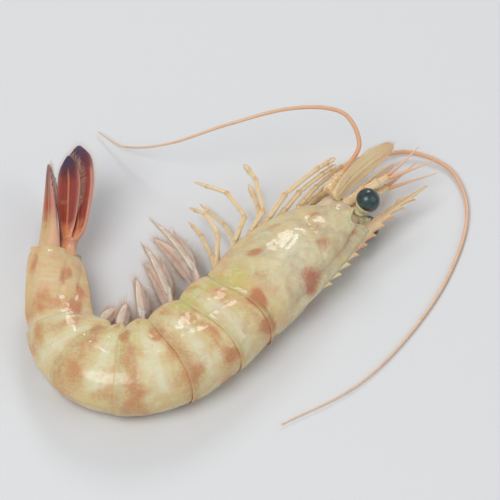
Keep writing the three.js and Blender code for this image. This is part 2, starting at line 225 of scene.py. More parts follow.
def wobble(points, size, seed=0.0):
    """Smooth noise from about -1 to 1, with bumps of that size in millimetres."""
    shift = Vector((seed, 2.3 * seed, -1.7 * seed))
    flat = (points.reshape(-1, 3) / size).tolist()
    return np.array([noise.noise(Vector(p) + shift) for p in flat]).reshape(points.shape[:-1])


# ---- meshes ----

MERGE_DISTANCE = 1e-7         # in metres


class Sculpt:
    """Gathers the grids of one piece, and makes a mesh of them that rides on the prawn."""

    def __init__(self, name):
        self.name, self.points, self.faces, self.marks, self.count = name, [], [], [], 0

    def add(self, points, **marks):
        """Adds a tube of (rows, columns) points: each row is a closed ring, and the two ends are capped."""
        rows, columns = points.shape[:2]
        i = np.arange(rows - 1)[:, None] * columns
        j = np.arange(columns)[None]
        k = (j + 1) % columns
        quads = np.stack([i + j, i + k, i + columns + k, i + columns + j], -1).reshape(-1, 4)
        self.faces += (quads + self.count).tolist()
        for end, row, turn in ((0, 0, -1), (1, rows - 1, 1)):
            rim = row * columns + np.arange(columns)
            middle = np.full(columns, rows * columns + end)
            fan = np.column_stack([middle, *(rim, np.roll(rim, -1))[::turn]])
            self.faces += (fan + self.count).tolist()
        flat = np.vstack([points.reshape(-1, 3), points[0].mean(0), points[-1].mean(0)])
        spread = {}
        for name, value in marks.items():
            grid = np.broadcast_to(value, (rows, columns))
            spread[name] = np.append(grid.ravel(), [grid[0].mean(), grid[-1].mean()])
        self.points.append(flat)
        self.marks.append((len(flat), spread))
        self.count += len(flat)

    def mesh(self):
        """The grids as one mesh, none of it below the surface, with the marks as its attributes."""
        mesh = bpy.data.meshes.new(self.name)
        points = np.vstack(self.points)
        points[:, 2] = np.maximum(points[:, 2], 0)
        mesh.from_pydata((points * MM).tolist(), [], self.faces)
        for name in sorted({name for _, spread in self.marks for name in spread}):
            values = np.concatenate([spread.get(name, np.zeros(size)) for size, spread in self.marks])
            mesh.attributes.new(name, "FLOAT", "POINT").data.foreach_set("value", values.astype(np.float32))
        shell = bmesh.new()
        shell.from_mesh(mesh)
        bmesh.ops.remove_doubles(shell, verts=shell.verts, dist=MERGE_DISTANCE)
        bmesh.ops.recalc_face_normals(shell, faces=shell.faces)
        shell.to_mesh(mesh)
        shell.free()
        mesh.shade_smooth()
        return mesh

    def finish(self, material, slot, *nodes):
        """The finished piece, in the scene."""
        mesh = self.mesh()
        mesh.materials.append(material)
        return settle(bpy.data.objects.new(self.name, mesh), slot, *nodes)


def settle(piece, slot, *nodes):
    """Puts a piece in the scene, rides it on the body, and hides the solids it stands for."""
    if not piece.users_collection:
        bpy.context.scene.collection.objects.link(piece)
    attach(piece, BODY)
    if nodes:
        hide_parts(*nodes)
    return piece


def route(points):
    """A smooth path through points, as a function of the share of its length."""
    points = np.asarray(points, float)
    far = np.concatenate([[0], np.cumsum(np.linalg.norm(np.diff(points, axis=0), axis=1))])
    tracks = [track(np.column_stack([far / far[-1], points[:, k]])) for k in range(3)]
    return lambda t: np.stack([one(t) for one in tracks], -1)


def lay(path, t, across, x, y):
    """Rows of points x and y millimetres off a path, x towards `across` and y square to it."""
    nearby = 0.004
    way = unit(path(np.minimum(t + nearby, 1)) - path(np.maximum(t - nearby, 0)))
    across = np.broadcast_to(across, way.shape)
    wide = unit(across - way * (across * way).sum(-1, keepdims=True))
    thick = np.cross(way, wide)
    return path(t)[:, None] + wide[:, None] * x[..., None] + thick[:, None] * y[..., None]


def circle(columns):
    """Angles evenly round a circle."""
    return np.linspace(0, 2 * np.pi, columns, endpoint=False)


def tube(path, across, wide, thick=None, rows=30, columns=16):
    """A round or oval limb. Its marks are reach, along it, and edge, strong on the sides that face across."""
    t = np.linspace(0, 1, rows)
    angle = circle(columns)
    x = np.broadcast_to(wide(t), t.shape)[:, None] * np.cos(angle)
    y = np.broadcast_to((thick or wide)(t), t.shape)[:, None] * np.sin(angle)
    return lay(path, t, across, x, y), {"reach": t[:, None], "edge": np.abs(np.cos(angle))[None]}


TIP_CROWDING = 1.25           # over 1, a leaf's rows lie closer together towards its tip
TIP_LEFT = 4e-4               # square of the share of its width that a leaf keeps at the very tip
UNDERSIDE = -0.4              # height of a rib on a leaf's lower face, over that on its upper one


def leaf(
    path, across, half_width, half_thickness, ribs, ridges=(0, 0.0), dome=0.0, tip=0.9, rows=70, half=28,
):
    """A thin blade, rounded beyond the share `tip` of its length.

    A rib is (place across from -1 to 1, half width, height, start, end), ridges are (how many, height), the
    dome is the middle's rise over the half width, and half is how many columns each face has.
    """
    t = 1 - (1 - np.linspace(0, 1, rows)) ** TIP_CROWDING
    angle = circle(2 * half)
    x = 0.5 * (np.cos(angle) - 1) + np.abs(angle / np.pi - 1)
    top = np.sign(np.sin(angle))
    rounding = np.sqrt(np.clip(1 - np.clip((t - tip) / (1 - tip), 0, 1) ** 2, TIP_LEFT, 1))
    width = half_width(t) * rounding
    lift = np.zeros((rows, 2 * half))
    for where, reach, height, start, end in ribs:
        window = smooth(start - 0.04, start + 0.04, t) * (1 - smooth(end - 0.1, end, t))
        lift += height * window[:, None] * bell((x[None] - where) * width[:, None], reach)
    ribbed = lift / max(height for _, _, height, _, _ in ribs)
    count, fine = ridges
    lift = lift + fine * np.cos(np.pi * count * x)[None] * smooth(0.05, 0.2, t)[:, None]
    body = (half_thickness(t) * rounding)[:, None] * np.sqrt(np.clip(1 - x**4, 0, 1))
    inside = np.clip(1 - x**8, 0, 1)
    y = top * body + lift * inside * np.where(top > 0, 1, UNDERSIDE) + dome * (1 - x**2) * width[:, None]
    # rim is strong at the edges; the tail fan paints a highlight with it
    marks = {"reach": t[:, None], "across": x[None], "rib": ribbed, "rim": (np.abs(x) ** 6)[None]}
    return lay(path, t, across, width[:, None] * x, y), marks


# ---- nodes ----

class Signal:
    """What comes out of a node. Python's operators turn sums on numbers into Math nodes."""

    def __init__(self, graph, socket):
        self.graph, self.socket = graph, socket

    def math(self, operation, *values, clamp=False):
        settings = {"operation": operation, "use_clamp": clamp}
        return self.graph.out("ShaderNodeMath", settings, dict(enumerate(values)))

    def __add__(self, other):
        return self.math("ADD", self, other)

    def __sub__(self, other):
        return self.math("SUBTRACT", self, other)

    def __rsub__(self, other):
        return self.math("SUBTRACT", other, self)

    def __mul__(self, other):
        return self.math("MULTIPLY", self, other)

    def __truediv__(self, other):
        return self.math("DIVIDE", self, other)

    def __pow__(self, other):
        return self.math("POWER", self, other)

    __radd__, __rmul__ = __add__, __mul__

    def sine(self):
        return self.math("SINE", self)

    def clamp(self):
        return self.math("ADD", self, 0.0, clamp=True)

    def step(self, low, high):
        """0 at low, 1 at high, with a smooth step between them."""
        sockets = {"Value": self, "From Min": low, "From Max": high}
        return self.graph.out("ShaderNodeMapRange", {"interpolation_type": "SMOOTHSTEP"}, sockets)


class Graph:
    """Adds nodes to a tree, each from its type, its settings and the values or links of its sockets."""

    def __init__(self, tree):
        self.tree = tree

    def node(self, kind, settings=None, sockets=None):
        node = self.tree.nodes.new(kind)
        for name, value in (settings or {}).items():
            if name == "stops":
                self.set_stops(node.color_ramp, value)
            else:
                setattr(node, name, value)
        for key, value in (sockets or {}).items():
            socket = self.find_input(node, key)
            if isinstance(value, Signal):
                self.tree.links.new(value.socket, socket)
            else:
                socket.default_value = value
        return node

    def out(self, kind, settings=None, sockets=None, output=None):
        """One output of a new node: the first in use, or the one of that name."""
        outputs = self.node(kind, settings, sockets).outputs
        return Signal(self, outputs[output] if output else next(s for s in outputs if s.enabled))

    @staticmethod
    def find_input(node, key):
        if isinstance(key, int):
            return node.inputs[key]
        return next(s for s in node.inputs if s.enabled and key in (s.identifier, s.name))

    @staticmethod
    def set_stops(ramp, stops):
        for where, _ in stops[2:]:
            ramp.elements.new(where)
        for element, (where, colour) in zip(ramp.elements, stops):
            element.position, element.color = where, (*colour, 1)

    def mark(self, name):
        """One of the marks that a Sculpt or a guide line carries."""
        return self.out("ShaderNodeAttribute", {"attribute_name": name}, output="Fac")

    def here(self):
        return self.out("ShaderNodeTexCoord", output="Object")

    def noise(self, size, detail=2.0, roughness=0.5, distortion=0.0):
        """Noise in Object coordinates, with bumps of a size in metres."""
        sockets = {"Scale": 1 / size, "Detail": detail, "Roughness": roughness, "Distortion": distortion}
        return self.out("ShaderNodeTexNoise", {}, {"Vector": self.here(), **sockets})

    def dots(self, spacing, randomness=1.0):
        """The distance to the nearest of many scattered points, over their spacing in metres."""
        sockets = {"Vector": self.here(), "Scale": 1 / spacing, "Randomness": randomness}
        return self.out("ShaderNodeTexVoronoi", {}, sockets, "Distance")

    def mix(self, factor, a, b):
        a, b = (c if isinstance(c, Signal) else (*c, 1) for c in (a, b))
        settings = {"data_type": "RGBA", "clamp_factor": True}
        return self.out("ShaderNodeMix", settings, {"Factor_Float": factor, "A_Color": a, "B_Color": b})

    def paint(self, skin, *coats):
        """A colour with others mixed over it in turn: each coat is (factor, colour)."""
        for factor, colour in coats:
            skin = self.mix(factor, skin, colour)
        return skin


def finish(name, recipe, look, **constants):
    """A material: the recipe gives its varying sockets and bump, and the constants its other sockets."""
    material = bpy.data.materials.new(name)
    material.use_nodes = True
    tree = material.node_tree
    tree.nodes.clear()
    graph = Graph(tree)
    varying, height, depth = recipe(graph, look)
    bump = graph.out("ShaderNodeBump", {}, {"Height": height, "Distance": depth, "Strength": 1.0})
    shader = graph.out("ShaderNodeBsdfPrincipled", {}, {**constants, **varying, "Normal": bump})
    graph.node("ShaderNodeOutputMaterial", {}, {"Surface": shader})
    return material


# ---- hairs and whips, by Geometry Nodes ----

WHIP_STATIONS = 240           # points of a whip's guide line
WHIP_SIDES = 8


def geometry_tree(name, inputs):
    """A new Geometry Nodes tree, and its inputs by name: the geometry, and those given as (kind, default)."""
    tree = bpy.data.node_groups.new(name, "GeometryNodeTree")
    tree.interface.new_socket("Geometry", in_out="INPUT", socket_type="NodeSocketGeometry")
    for label, (kind, value) in inputs.items():
        socket = tree.interface.new_socket(label, in_out="INPUT", socket_type="NodeSocket" + kind)
        if value is not None:
            socket.default_value = value
    tree.interface.new_socket("Geometry", in_out="OUTPUT", socket_type="NodeSocketGeometry")
    graph = Graph(tree)
    start = graph.node("NodeGroupInput")
    return graph, {s.name: Signal(graph, s) for s in start.outputs if s.name}


def close_tree(graph, geometry, material):
    """Ends a tree in Realize Instances and Set Material."""
    real = graph.out("GeometryNodeRealizeInstances", {}, {"Geometry": geometry})
    dressed = graph.out("GeometryNodeSetMaterial", {}, {"Geometry": real, "Material": material})
    graph.node("NodeGroupOutput", {}, {0: dressed})
    return graph.tree


def even_curve(graph, guides, spacing):
    """The guide lines as curves, with points at an even spacing."""
    curve = graph.out("GeometryNodeMeshToCurve", {}, {"Mesh": guides})
    return graph.out("GeometryNodeResampleCurve", {"mode": "LENGTH"}, {"Curve": curve, "Length": spacing})


def guide_mark(graph, name, kind="FLOAT"):
    return graph.out("GeometryNodeInputNamedAttribute", {"data_type": kind}, {"Name": name})


def store(graph, geometry, name, value):
    """The geometry with one more mark at its points."""
    settings = {"data_type": "FLOAT", "domain": "POINT"}
    sockets = {"Geometry": geometry, "Name": name, "Value": value}
    return graph.out("GeometryNodeStoreNamedAttribute", settings, sockets)


def tube_on(graph, curve, sides, radius):
    """A closed tube along a curve."""
    ring = graph.out("GeometryNodeCurvePrimitiveCircle", {}, {"Resolution": sides, "Radius": 1.0})
    sockets = {"Curve": curve, "Profile Curve": ring, "Fill Caps": True, "Scale": radius}
    return graph.out("GeometryNodeCurveToMesh", {}, sockets)


def random_value(graph, kind, low, high, seed):
    return graph.out("FunctionNodeRandomValue", {"data_type": kind}, {"Min": low, "Max": high, "Seed": seed})


def vector(graph, x, y, z):
    return graph.out("ShaderNodeCombineXYZ", {}, {"X": x, "Y": y, "Z": z})


def fringe_tree():
    """Bent hairs along guide lines: the mark aim points each hair, and the mark length sizes it."""
    graph, given = geometry_tree("Fringe of hairs", {
        "Spacing": ("Float", 0.0004), "Root radius": ("Float", 0.03), "Bend": ("Float", 0.25),
        "Scatter": ("Float", 0.25), "Seed": ("Int", 0), "Material": ("Material", None),
    })
    # One hair, 1 m long, which each instance scales down
    tip = vector(graph, given["Bend"], 0, 1)
    sockets = {"Resolution": 4, "Start": (0, 0, 0), "Middle": (0, 0, 0.55), "End": tip}
    spine = graph.out("GeometryNodeCurveQuadraticBezier", {}, sockets)
    reach = graph.out("GeometryNodeSplineParameter", output="Factor")
    taper = given["Root radius"] * (1 - 0.8 * reach)
    hair = tube_on(graph, store(graph, spine, "reach", reach), 3, taper)
    # The hairs, each aimed, sized and then turned a little by chance
    aim = guide_mark(graph, "aim", "FLOAT_VECTOR")
    size = guide_mark(graph, "length") * random_value(graph, "FLOAT", 0.7, 1.1, given["Seed"])
    sockets = {
        "Points": even_curve(graph, given["Geometry"], given["Spacing"]), "Instance": hair, "Scale": size,
        "Rotation": graph.out("FunctionNodeAlignRotationToVector", {"axis": "Z"}, {"Vector": aim}),
    }
    hairs = graph.out("GeometryNodeInstanceOnPoints", {}, sockets)
    spread, back_spread, twist = given["Scatter"], -1 * given["Scatter"], 0.5
    low, high = vector(graph, back_spread, back_spread, -twist), vector(graph, spread, spread, twist)
    turn = random_value(graph, "FLOAT_VECTOR", low, high, given["Seed"] + 7)
    sockets = {"Instances": hairs, "Rotation": turn, "Local Space": True}
    return close_tree(graph, graph.out("GeometryNodeRotateInstances", {}, sockets), given["Material"])


def whip_tree():
    """Ringed whips along guide lines: the mark girth is the radius at each point of a line."""
    graph, given = geometry_tree("Ringed whip", {
        "Ring spacing": ("Float", 0.0009), "Ring depth": ("Float", 0.1), "Sides": ("Int", 8),
        "Material": ("Material", None),
    })
    curve = even_curve(graph, given["Geometry"], given["Ring spacing"] * 0.25)
    turns = graph.out("GeometryNodeSplineParameter", output="Length") / given["Ring spacing"]
    swell = (turns * math.tau).sine() * 0.5 + 0.5
    radius = guide_mark(graph, "girth") * (1 - given["Ring depth"] * (1 - swell))
    curve = store(graph, curve, "reach", graph.out("GeometryNodeSplineParameter", output="Factor"))
    curve = store(graph, curve, "rib", swell)
    return close_tree(graph, tube_on(graph, curve, given["Sides"], radius), given["Material"])


def guide_mesh(name, lines):
    """Guide lines of (points, marks) as one mesh of edges, with the marks as its attributes."""
    mesh = bpy.data.meshes.new(name)
    edges, count = [], 0
    for points, _ in lines:
        edges += [(i, i + 1) for i in range(count, count + len(points) - 1)]
        count += len(points)
    mesh.from_pydata((np.vstack([points for points, _ in lines]) * MM).tolist(), edges, [])
    for mark in lines[0][1]:
        values = np.concatenate([np.asarray(marks[mark], float) for _, marks in lines])
        kind, field = ("FLOAT_VECTOR", "vector") if values.ndim == 2 else ("FLOAT", "value")
        data = mesh.attributes.new(mark, kind, "POINT").data
        data.foreach_set(field, values.astype(np.float32).ravel())
    return mesh


def grow(name, lines, tree, values):
    """Runs a tree on guide lines and turns what comes out into a plain mesh object."""
    guide = guide_mesh(name + "_guide", lines)
    holder = bpy.data.objects.new(name + "_guide", guide)
    bpy.context.scene.collection.objects.link(holder)
    modifier = holder.modifiers.new(tree.name, "NODES")
    modifier.node_group = tree
    for item in tree.interface.items_tree:
        if item.in_out == "INPUT" and item.name in values:
            modifier[item.identifier] = values[item.name]
    bpy.context.view_layer.update()
    now = bpy.context.evaluated_depsgraph_get()
    grown = holder.evaluated_get(now)
    mesh = bpy.data.meshes.new_from_object(grown, preserve_all_data_layers=True, depsgraph=now)
    mesh.name = name
    mesh.shade_smooth()
    corners = np.empty(3 * len(mesh.vertices), np.float32)
    mesh.vertices.foreach_get("co", corners)
    corners[2::3] = np.maximum(corners[2::3], LOWEST_HAIR * MM)
    mesh.vertices.foreach_set("co", corners)
    holder.modifiers.remove(modifier)
    bpy.data.objects.remove(holder)
    bpy.data.meshes.remove(guide)
    return bpy.data.objects.new(name, mesh)


def hair_piece(context, name, lines, slot, spacing=1.0, root=0.014, scatter=0.2, seed=1):
    """A fringe of hairs: the spacing is over the look's own, and the root's radius over the hair's length."""
    look = look_of(context, "hair")
    tree = bpy.data.node_groups.get("Fringe of hairs") or fringe_tree()
    values = {
        "Spacing": look.spacing * spacing, "Root radius": root, "Bend": look.bend, "Scatter": scatter,
        "Seed": seed, "Material": material_of(context, "hair"),
    }
    return settle(grow(name, lines, tree, values), slot)


def whip_piece(context, name, whips, slot, *nodes):
    """The ringed whips of one feeler, each from its path and its radius along it."""
    t = np.linspace(0, 1, WHIP_STATIONS)
    lines = [(path(t), {"girth": girth(t) * MM}) for path, girth in whips]
    look = look_of(context, "whip")
    tree = bpy.data.node_groups.get("Ringed whip") or whip_tree()
    values = {
        "Ring spacing": look.ring_spacing, "Ring depth": look.ring_depth, "Sides": WHIP_SIDES,
        "Material": material_of(context, "whip"),
    }
    return settle(grow(name, lines, tree, values), slot, *nodes)


# ---- looks ----

def srgb(*levels):
    """A linear colour from its 0 to 255 display levels."""
    return tuple(v / 3294.6 if v <= 10.31 else ((v / 255 + 0.055) / 1.055) ** 2.4 for v in levels)


def colour(name, description, *levels):
    return bpy.props.FloatVectorProperty(
        name=name, description=description, subtype="COLOR", size=3, min=0, max=1, default=srgb(*levels)
    )


def size_in_m(name, description, default):
    return bpy.props.FloatProperty(
        name=name, description=description, default=default, min=0.00001, precision=5, subtype="DISTANCE",
        unit="LENGTH",
    )


def share(name, description, default, top=1.0):
    return bpy.props.FloatProperty(
        name=name, description=description, default=default, min=0, max=top, subtype="FACTOR"
    )


class ShellLook(bpy.types.PropertyGroup):
    cream: colour("Cream", "The shell's main colour", 218, 195, 142)
    yellow: colour("Yellow green", "Clouds of yellow green in the shell", 202, 189, 100)
    # Pale is the meat showing through; in the tail's pale bands it is also a painted highlight
    pale: colour("Pale", "The whitish bands, where the meat shows through", 226, 222, 190)
    grey: colour("Grey", "Where the shell is glassy and dark inside", 182, 172, 142)
    rose: colour("Rose", "Clouds of pink in the shell", 220, 166, 122)
    patch: colour("Patch", "The brown-orange patches", 196, 132, 78)
    red_patch: colour("Red patch", "The redder patches", 180, 82, 58)
    flesh: colour("Flesh", "The soft belly between the shell's edges", 219, 196, 166)
    speckle: size_in_m("Speckle", "Spacing of the pigment dots", 0.0011)


class FanLook(bpy.types.PropertyGroup):
    root: colour("Root", "The blades where they leave the body", 220, 188, 132)
    orange: colour("Orange", "The ribs and the paler parts", 208, 134, 92)
    brick: colour("Brick", "The middle of the blades", 146, 60, 48)
    plum: colour("Plum", "Between the brick red and the blue", 98, 44, 50)
    blue: colour("Blue", "The blades' tips", 62, 56, 84)
    ash: colour("Ash", "The telson's greyish end", 148, 122, 116)
    # The pale edge is a painted highlight along the blades' wet rims
    pale: colour("Pale edge", "Wet rims of the blades", 226, 170, 158)


class LimbLook(bpy.types.PropertyGroup):
    cream: colour("Cream", "The limbs' pale sides", 246, 230, 188)
    orange: colour("Orange", "The limbs' edges and joints", 214, 150, 92)
    tip: colour("Tip", "The limbs' ends", 228, 186, 140)


class SwimmeretLook(bpy.types.PropertyGroup):
    pale: colour("Pale", "The blades", 226, 206, 190)
    pink: colour("Pink", "The stems and ribs", 214, 142, 122)
    grey: colour("Grey", "The thin parts of the blades", 186, 182, 166)


class EyeLook(bpy.types.PropertyGroup):
    teal: colour("Teal", "The eye's round front", 40, 66, 68)
    dark: colour("Dark", "The eye's darkest part", 18, 30, 34)
    stalk: colour("Stalk", "The eye's stalk", 214, 206, 160)
    facet: size_in_m("Facet", "Spacing of the eye's facets", 0.00016)


class WhipLook(bpy.types.PropertyGroup):
    root: colour("Root", "A whip where it leaves its stem", 226, 170, 130)
    tip: colour("Tip", "A whip's far end", 238, 208, 178)
    ring_spacing: size_in_m("Ring spacing", "Length of one ring of a whip", 0.0006)
    ring_depth: share("Ring depth", "Depth of the grooves between rings, as a share of the radius", 0.1)


class HairLook(bpy.types.PropertyGroup):
    root: colour("Root", "A hair where it starts", 216, 164, 134)
    tip: colour("Tip", "A hair's end", 240, 224, 204)
    spacing: size_in_m("Spacing", "Distance between the hairs of a fringe", 0.00016)
    bend: share("Bend", "How far a hair's end leans over, as a share of its length", 0.3)


class StageLook(bpy.types.PropertyGroup):
    floor: colour("Floor", "The floor's colour", 222, 223, 224)
    view_width: size_in_m("View width", "Width of what the camera sees at the prawn", 0.150)
    distance: size_in_m("Distance", "From the camera to the prawn", 1.6)
    elevation: bpy.props.FloatProperty(
        name="Elevation", description="How far the camera looks down", default=math.radians(51),
        subtype="ANGLE", unit="ROTATION",
    )
    key_power: bpy.props.FloatProperty(
        name="Key light", description="Power of the large soft light", default=7.7, min=0, subtype="POWER",
        unit="POWER",
    )


LOOKS = {
    "shell": ShellLook, "fan": FanLook, "limb": LimbLook, "swimmeret": SwimmeretLook, "eye": EyeLook,
    "whip": WhipLook, "hair": HairLook, "stage": StageLook,
}


# A recipe gives a material's varying sockets, its bump's height, and the bump's depth in metres. The sizes of
# noise and dots are in metres too.

def shell_recipe(graph, look):
    broad = graph.noise(0.013, 2.0, 0.5, 0.6)
    cloud = graph.noise(0.0062, 3.0, 0.55, 0.4)
    mottle = graph.noise(0.0031, 3.0, 0.65, 0.8)
    grain = graph.noise(0.0016, 3.0, 0.6)
    stipple = graph.noise(0.00085, 2.0, 0.7)
    grey, patch = graph.mark("grey"), graph.mark("patch")
    base = graph.paint(
        look.cream,
        (broad.step(0.36, 0.62) * (0.2 + 0.8 * graph.mark("moss")), look.yellow),
        (cloud.step(0.48, 0.7) * 0.7, look.rose),
        # the pale mark: whitish bands where the meat shows through, partly painted highlight
        (graph.mark("pale") * (0.45 + 0.8 * cloud), look.pale),
        (grey * broad.step(0.25, 0.7) * 0.65, look.pale),
        (grey * cloud.step(0.34, 0.78) * 0.8, look.grey),
        (mottle.step(0.5, 0.7) * 0.35, look.rose),
        ((1 - mottle).step(0.5, 0.7) * 0.4, look.pale),
        (graph.mark("belly"), look.flesh),
    )
    stain = (patch * (0.4 + 1.2 * cloud) + (stipple - 0.5) * 0.7 * patch.step(0.0, 0.3)).step(0.05, 0.85)
    tone = graph.mix(graph.mark("hue"), look.patch, look.red_patch)
    gathered = (0.45 + 0.55 * stain) * graph.noise(0.004, 1.0).step(0.3, 0.55)
    skin = graph.paint(
        base,
        (stain * 0.76, tone),
        ((1 - graph.dots(look.speckle).step(0.05, 0.24)) * gathered * 0.7, look.red_patch),
        ((1 - graph.dots(0.0026).step(0.03, 0.16)) * 0.25, look.red_patch),
        (graph.mark("margin") * 0.35, look.rose),
    )
    height = cloud * 0.9 + grain * 0.34 + graph.noise(0.00055, 2.0) * 0.1
    return {"Base Color": skin, "Roughness": 0.38 + 0.22 * grain}, height, 0.00045


def fan_recipe(graph, look):
    cloud = graph.noise(0.0045, 3.0, 0.6, 0.5)
    grain = graph.noise(0.0009, 2.0, 0.6)
    reach, faded = graph.mark("reach"), graph.mark("faded")
    uneven = reach + (cloud - 0.5) * 0.34
    stops = [
        (0.0, look.root), (0.1, look.orange), (0.26, look.brick), (0.66, look.brick), (0.82, look.plum),
        (1.0, look.blue),
    ]
    skin = graph.paint(
        graph.out("ShaderNodeValToRGB", {"stops": stops}, {"Fac": uneven}),
        ((graph.mark("rib") * (1 - reach.step(0.72, 0.98))).step(0.25, 0.85) * 0.7, look.orange),
        (cloud.step(0.55, 0.75) * (1 - reach.step(0.3, 0.6)) * 0.6, look.root),
        (faded * 0.35, look.orange),
        (faded * (1 - uneven.step(0.2, 0.5)) * 0.85, look.root),
        (faded * uneven.step(0.5, 0.8) * cloud.step(0.3, 0.6) * 0.65, look.ash),
        # painted highlight along the blades' rims, fading before the tips
        (graph.mark("rim") * 0.6 * (1 - reach.step(0.75, 0.95)), look.pale),
    )
    return {"Base Color": skin, "Roughness": 0.22 + 0.2 * grain}, cloud * 0.5 + grain * 0.35, 0.0003


def limb_recipe(graph, look):
    cloud = graph.noise(0.0035, 3.0, 0.6)
    grain = graph.noise(0.0008, 2.0, 0.6)
    edge = graph.mark("edge") ** 3.0 * (0.35 + 0.6 * cloud)
    skin = graph.paint(
        look.cream,
        ((edge + graph.mark("joint") * 0.4).clamp() * 0.75, look.orange),
        (cloud.step(0.55, 0.75) * 0.25, look.orange),
        (graph.mark("reach").step(0.6, 1.0) * 0.6, look.tip),
        ((1 - graph.dots(0.0009).step(0.06, 0.24)) * 0.4, look.orange),
    )
    return {"Base Color": skin, "Roughness": 0.24 + 0.2 * grain}, cloud * 0.4 + grain * 0.3, 0.0003


def swimmeret_recipe(graph, look):
    cloud = graph.noise(0.003, 3.0, 0.6)
    grain = graph.noise(0.0007, 2.0, 0.6)
    skin = graph.paint(
        look.pale,
        (cloud.step(0.42, 0.7) * 0.7, look.grey),
        (graph.mark("rib") * 0.7, look.pink),
        (graph.mark("edge") * (1 - graph.mark("reach")) * 0.6, look.pink),
    )
    return {"Base Color": skin, "Roughness": 0.2 + 0.2 * grain}, cloud * 0.5 + grain * 0.3, 0.0003


def eye_recipe(graph, look):
    cornea = graph.mark("cornea")
    cloud = graph.noise(0.003, 2.0)
    globe = graph.mix(cloud.step(0.4, 0.65), look.teal, look.dark)
    stalk = graph.mix(graph.noise(0.0016, 3.0).step(0.5, 0.7) * 0.3, look.stalk, look.dark)
    height = graph.dots(look.facet, 0.35) * cornea + cloud * 0.6
    return {"Base Color": graph.mix(cornea, stalk, globe), "Roughness": 0.3 + 0.15 * cloud}, height, 0.00004


def whip_recipe(graph, look):
    cloud = graph.noise(0.004, 3.0, 0.6)
    skin = graph.paint(
        look.root,
        (graph.mark("reach").step(0.0, 0.7), look.tip),
        ((1 - graph.mark("rib")) * 0.5, look.root),
        (cloud.step(0.5, 0.7) * 0.5, look.root),
    )
    return {"Base Color": skin, "Roughness": 0.3 + 0.2 * cloud}, cloud + graph.noise(0.0006), 0.00008


def hair_recipe(graph, look):
    cloud = graph.noise(0.002, 2.0)
    skin = graph.mix(graph.mark("reach").step(0.0, 0.6), look.root, look.tip)
    return {"Base Color": skin, "Roughness": 0.35 + 0.2 * cloud}, cloud, 0.00002


def floor_recipe(graph, look):
    cloud = graph.noise(0.12, 2.0)
    shade = graph.mix(cloud * 0.05, look.floor, [0.92 * v for v in look.floor])
    return {"Base Color": shade, "Roughness": 0.62 + 0.05 * cloud}, graph.noise(0.001, 2.0), 0.00001


WET = {"Coat Weight": 0.55, "Coat Roughness": 0.1, "IOR": 1.4}
LIVING = {"Subsurface Weight": 0.35, "Subsurface Radius": (0.0024, 0.0013, 0.0007), "Subsurface Scale": 1.0}
FINISHES = {
    "shell": (shell_recipe, {**WET, **LIVING}),
    "fan": (fan_recipe, {**WET, **LIVING, "Subsurface Weight": 0.15}),
    "limb": (limb_recipe, {**WET, **LIVING}),
    "swimmeret": (swimmeret_recipe, {**WET, **LIVING, "Subsurface Weight": 0.5}),
    "eye": (eye_recipe, {**WET, "Coat Weight": 0.8, "Coat Roughness": 0.07}),
    "whip": (whip_recipe, {**WET, "Coat Weight": 0.3}),
    "hair": (hair_recipe, {"IOR": 1.45}),
    "stage": (floor_recipe, {}),
}


def look_of(context, name):
    return getattr(context.scene, "prawn_" + name)


def material_of(context, name):
    """The finish of that name, made when it is first asked for."""
    title = "prawn_" + name
    if title not in bpy.data.materials:
        recipe, constants = FINISHES[name]
        return finish(title, recipe, look_of(context, name), **constants)
    return bpy.data.materials[title]


# ---- the shell's pigment ----

# Place along the body, share of the half girth from the back, half length and half girth in mm, strength, and
# redness
PATCHES = (
    (0.5, 0.14, 3.6, 4.6, 1.0, 0.6), (-1.5, 0.38, 2.6, 4.8, 0.9, 0.6), (16.0, 0.17, 3.4, 4.4, 0.85, 0.25),
    (27.5, 0.21, 3.6, 4.4, 0.7, 0.15), (39.5, 0.09, 3.2, 6.6, 0.7, 0.1), (45.5, 0.11, 2.6, 4.2, 0.4, 0.1),
    (53.5, 0.28, 3.9, 4.6, 0.62, 0.0), (66.0, 0.24, 3.4, 4.4, 0.6, 0.1), (77.0, 0.31, 5.0, 5.0, 0.6, 0.3),
    (87.0, 0.58, 3.6, 3.6, 0.85, 0.8), (90.0, 0.12, 3.6, 2.8, 0.65, 0.6), (18.5, 0.72, 2.6, 2.6, 0.6, 0.2),
    (29.5, 0.71, 3.2, 3.6, 1.0, 0.15), (41.5, 0.79, 3.4, 3.4, 1.0, 0.15), (57.0, 0.8, 4.0, 3.2, 1.0, 0.2),
    (73.0, 0.71, 4.6, 3.8, 1.0, 0.7), (5.5, 0.66, 2.4, 2.8, 0.5, 0.2), (-20.5, 0.17, 4.8, 4.4, 0.9, 0.9),
    (-14.0, 0.76, 2.4, 2.4, 0.75, 0.4), (-31.0, 0.38, 2.8, 3.2, 0.55, 0.6), (-8.5, 0.52, 2.4, 2.8, 0.45, 0.4),
    (-38.0, 0.7, 2.6, 2.2, 0.55, 0.5), (-43.0, 0.16, 2.8, 2.6, 0.6, 0.3), (-27.0, 0.85, 2.8, 2.0, 0.5, 0.3),
    (16.5, 0.46, 2.4, 3.4, 0.5, 0.1), (28.5, 0.47, 2.6, 3.6, 0.6, 0.1), (40.5, 0.46, 2.8, 3.6, 0.6, 0.1),
    (55.0, 0.55, 3.2, 3.0, 0.55, 0.2), (66.0, 0.56, 2.4, 3.0, 0.55, 0.4), (80.0, 0.8, 3.6, 3.0, 0.8, 0.7),
    (7.5, 0.3, 2.0, 2.6, 0.35, 0.3), (-12.0, 0.3, 2.6, 2.4, 0.35, 0.7), (22.5, 0.9, 2.2, 1.8, 0.5, 0.3),
    (35.0, 0.93, 2.2, 1.8, 0.5, 0.3), (8.5, 0.92, 2.2, 1.8, 0.5, 0.3), (48.5, 0.92, 2.2, 1.8, 0.5, 0.3),
)
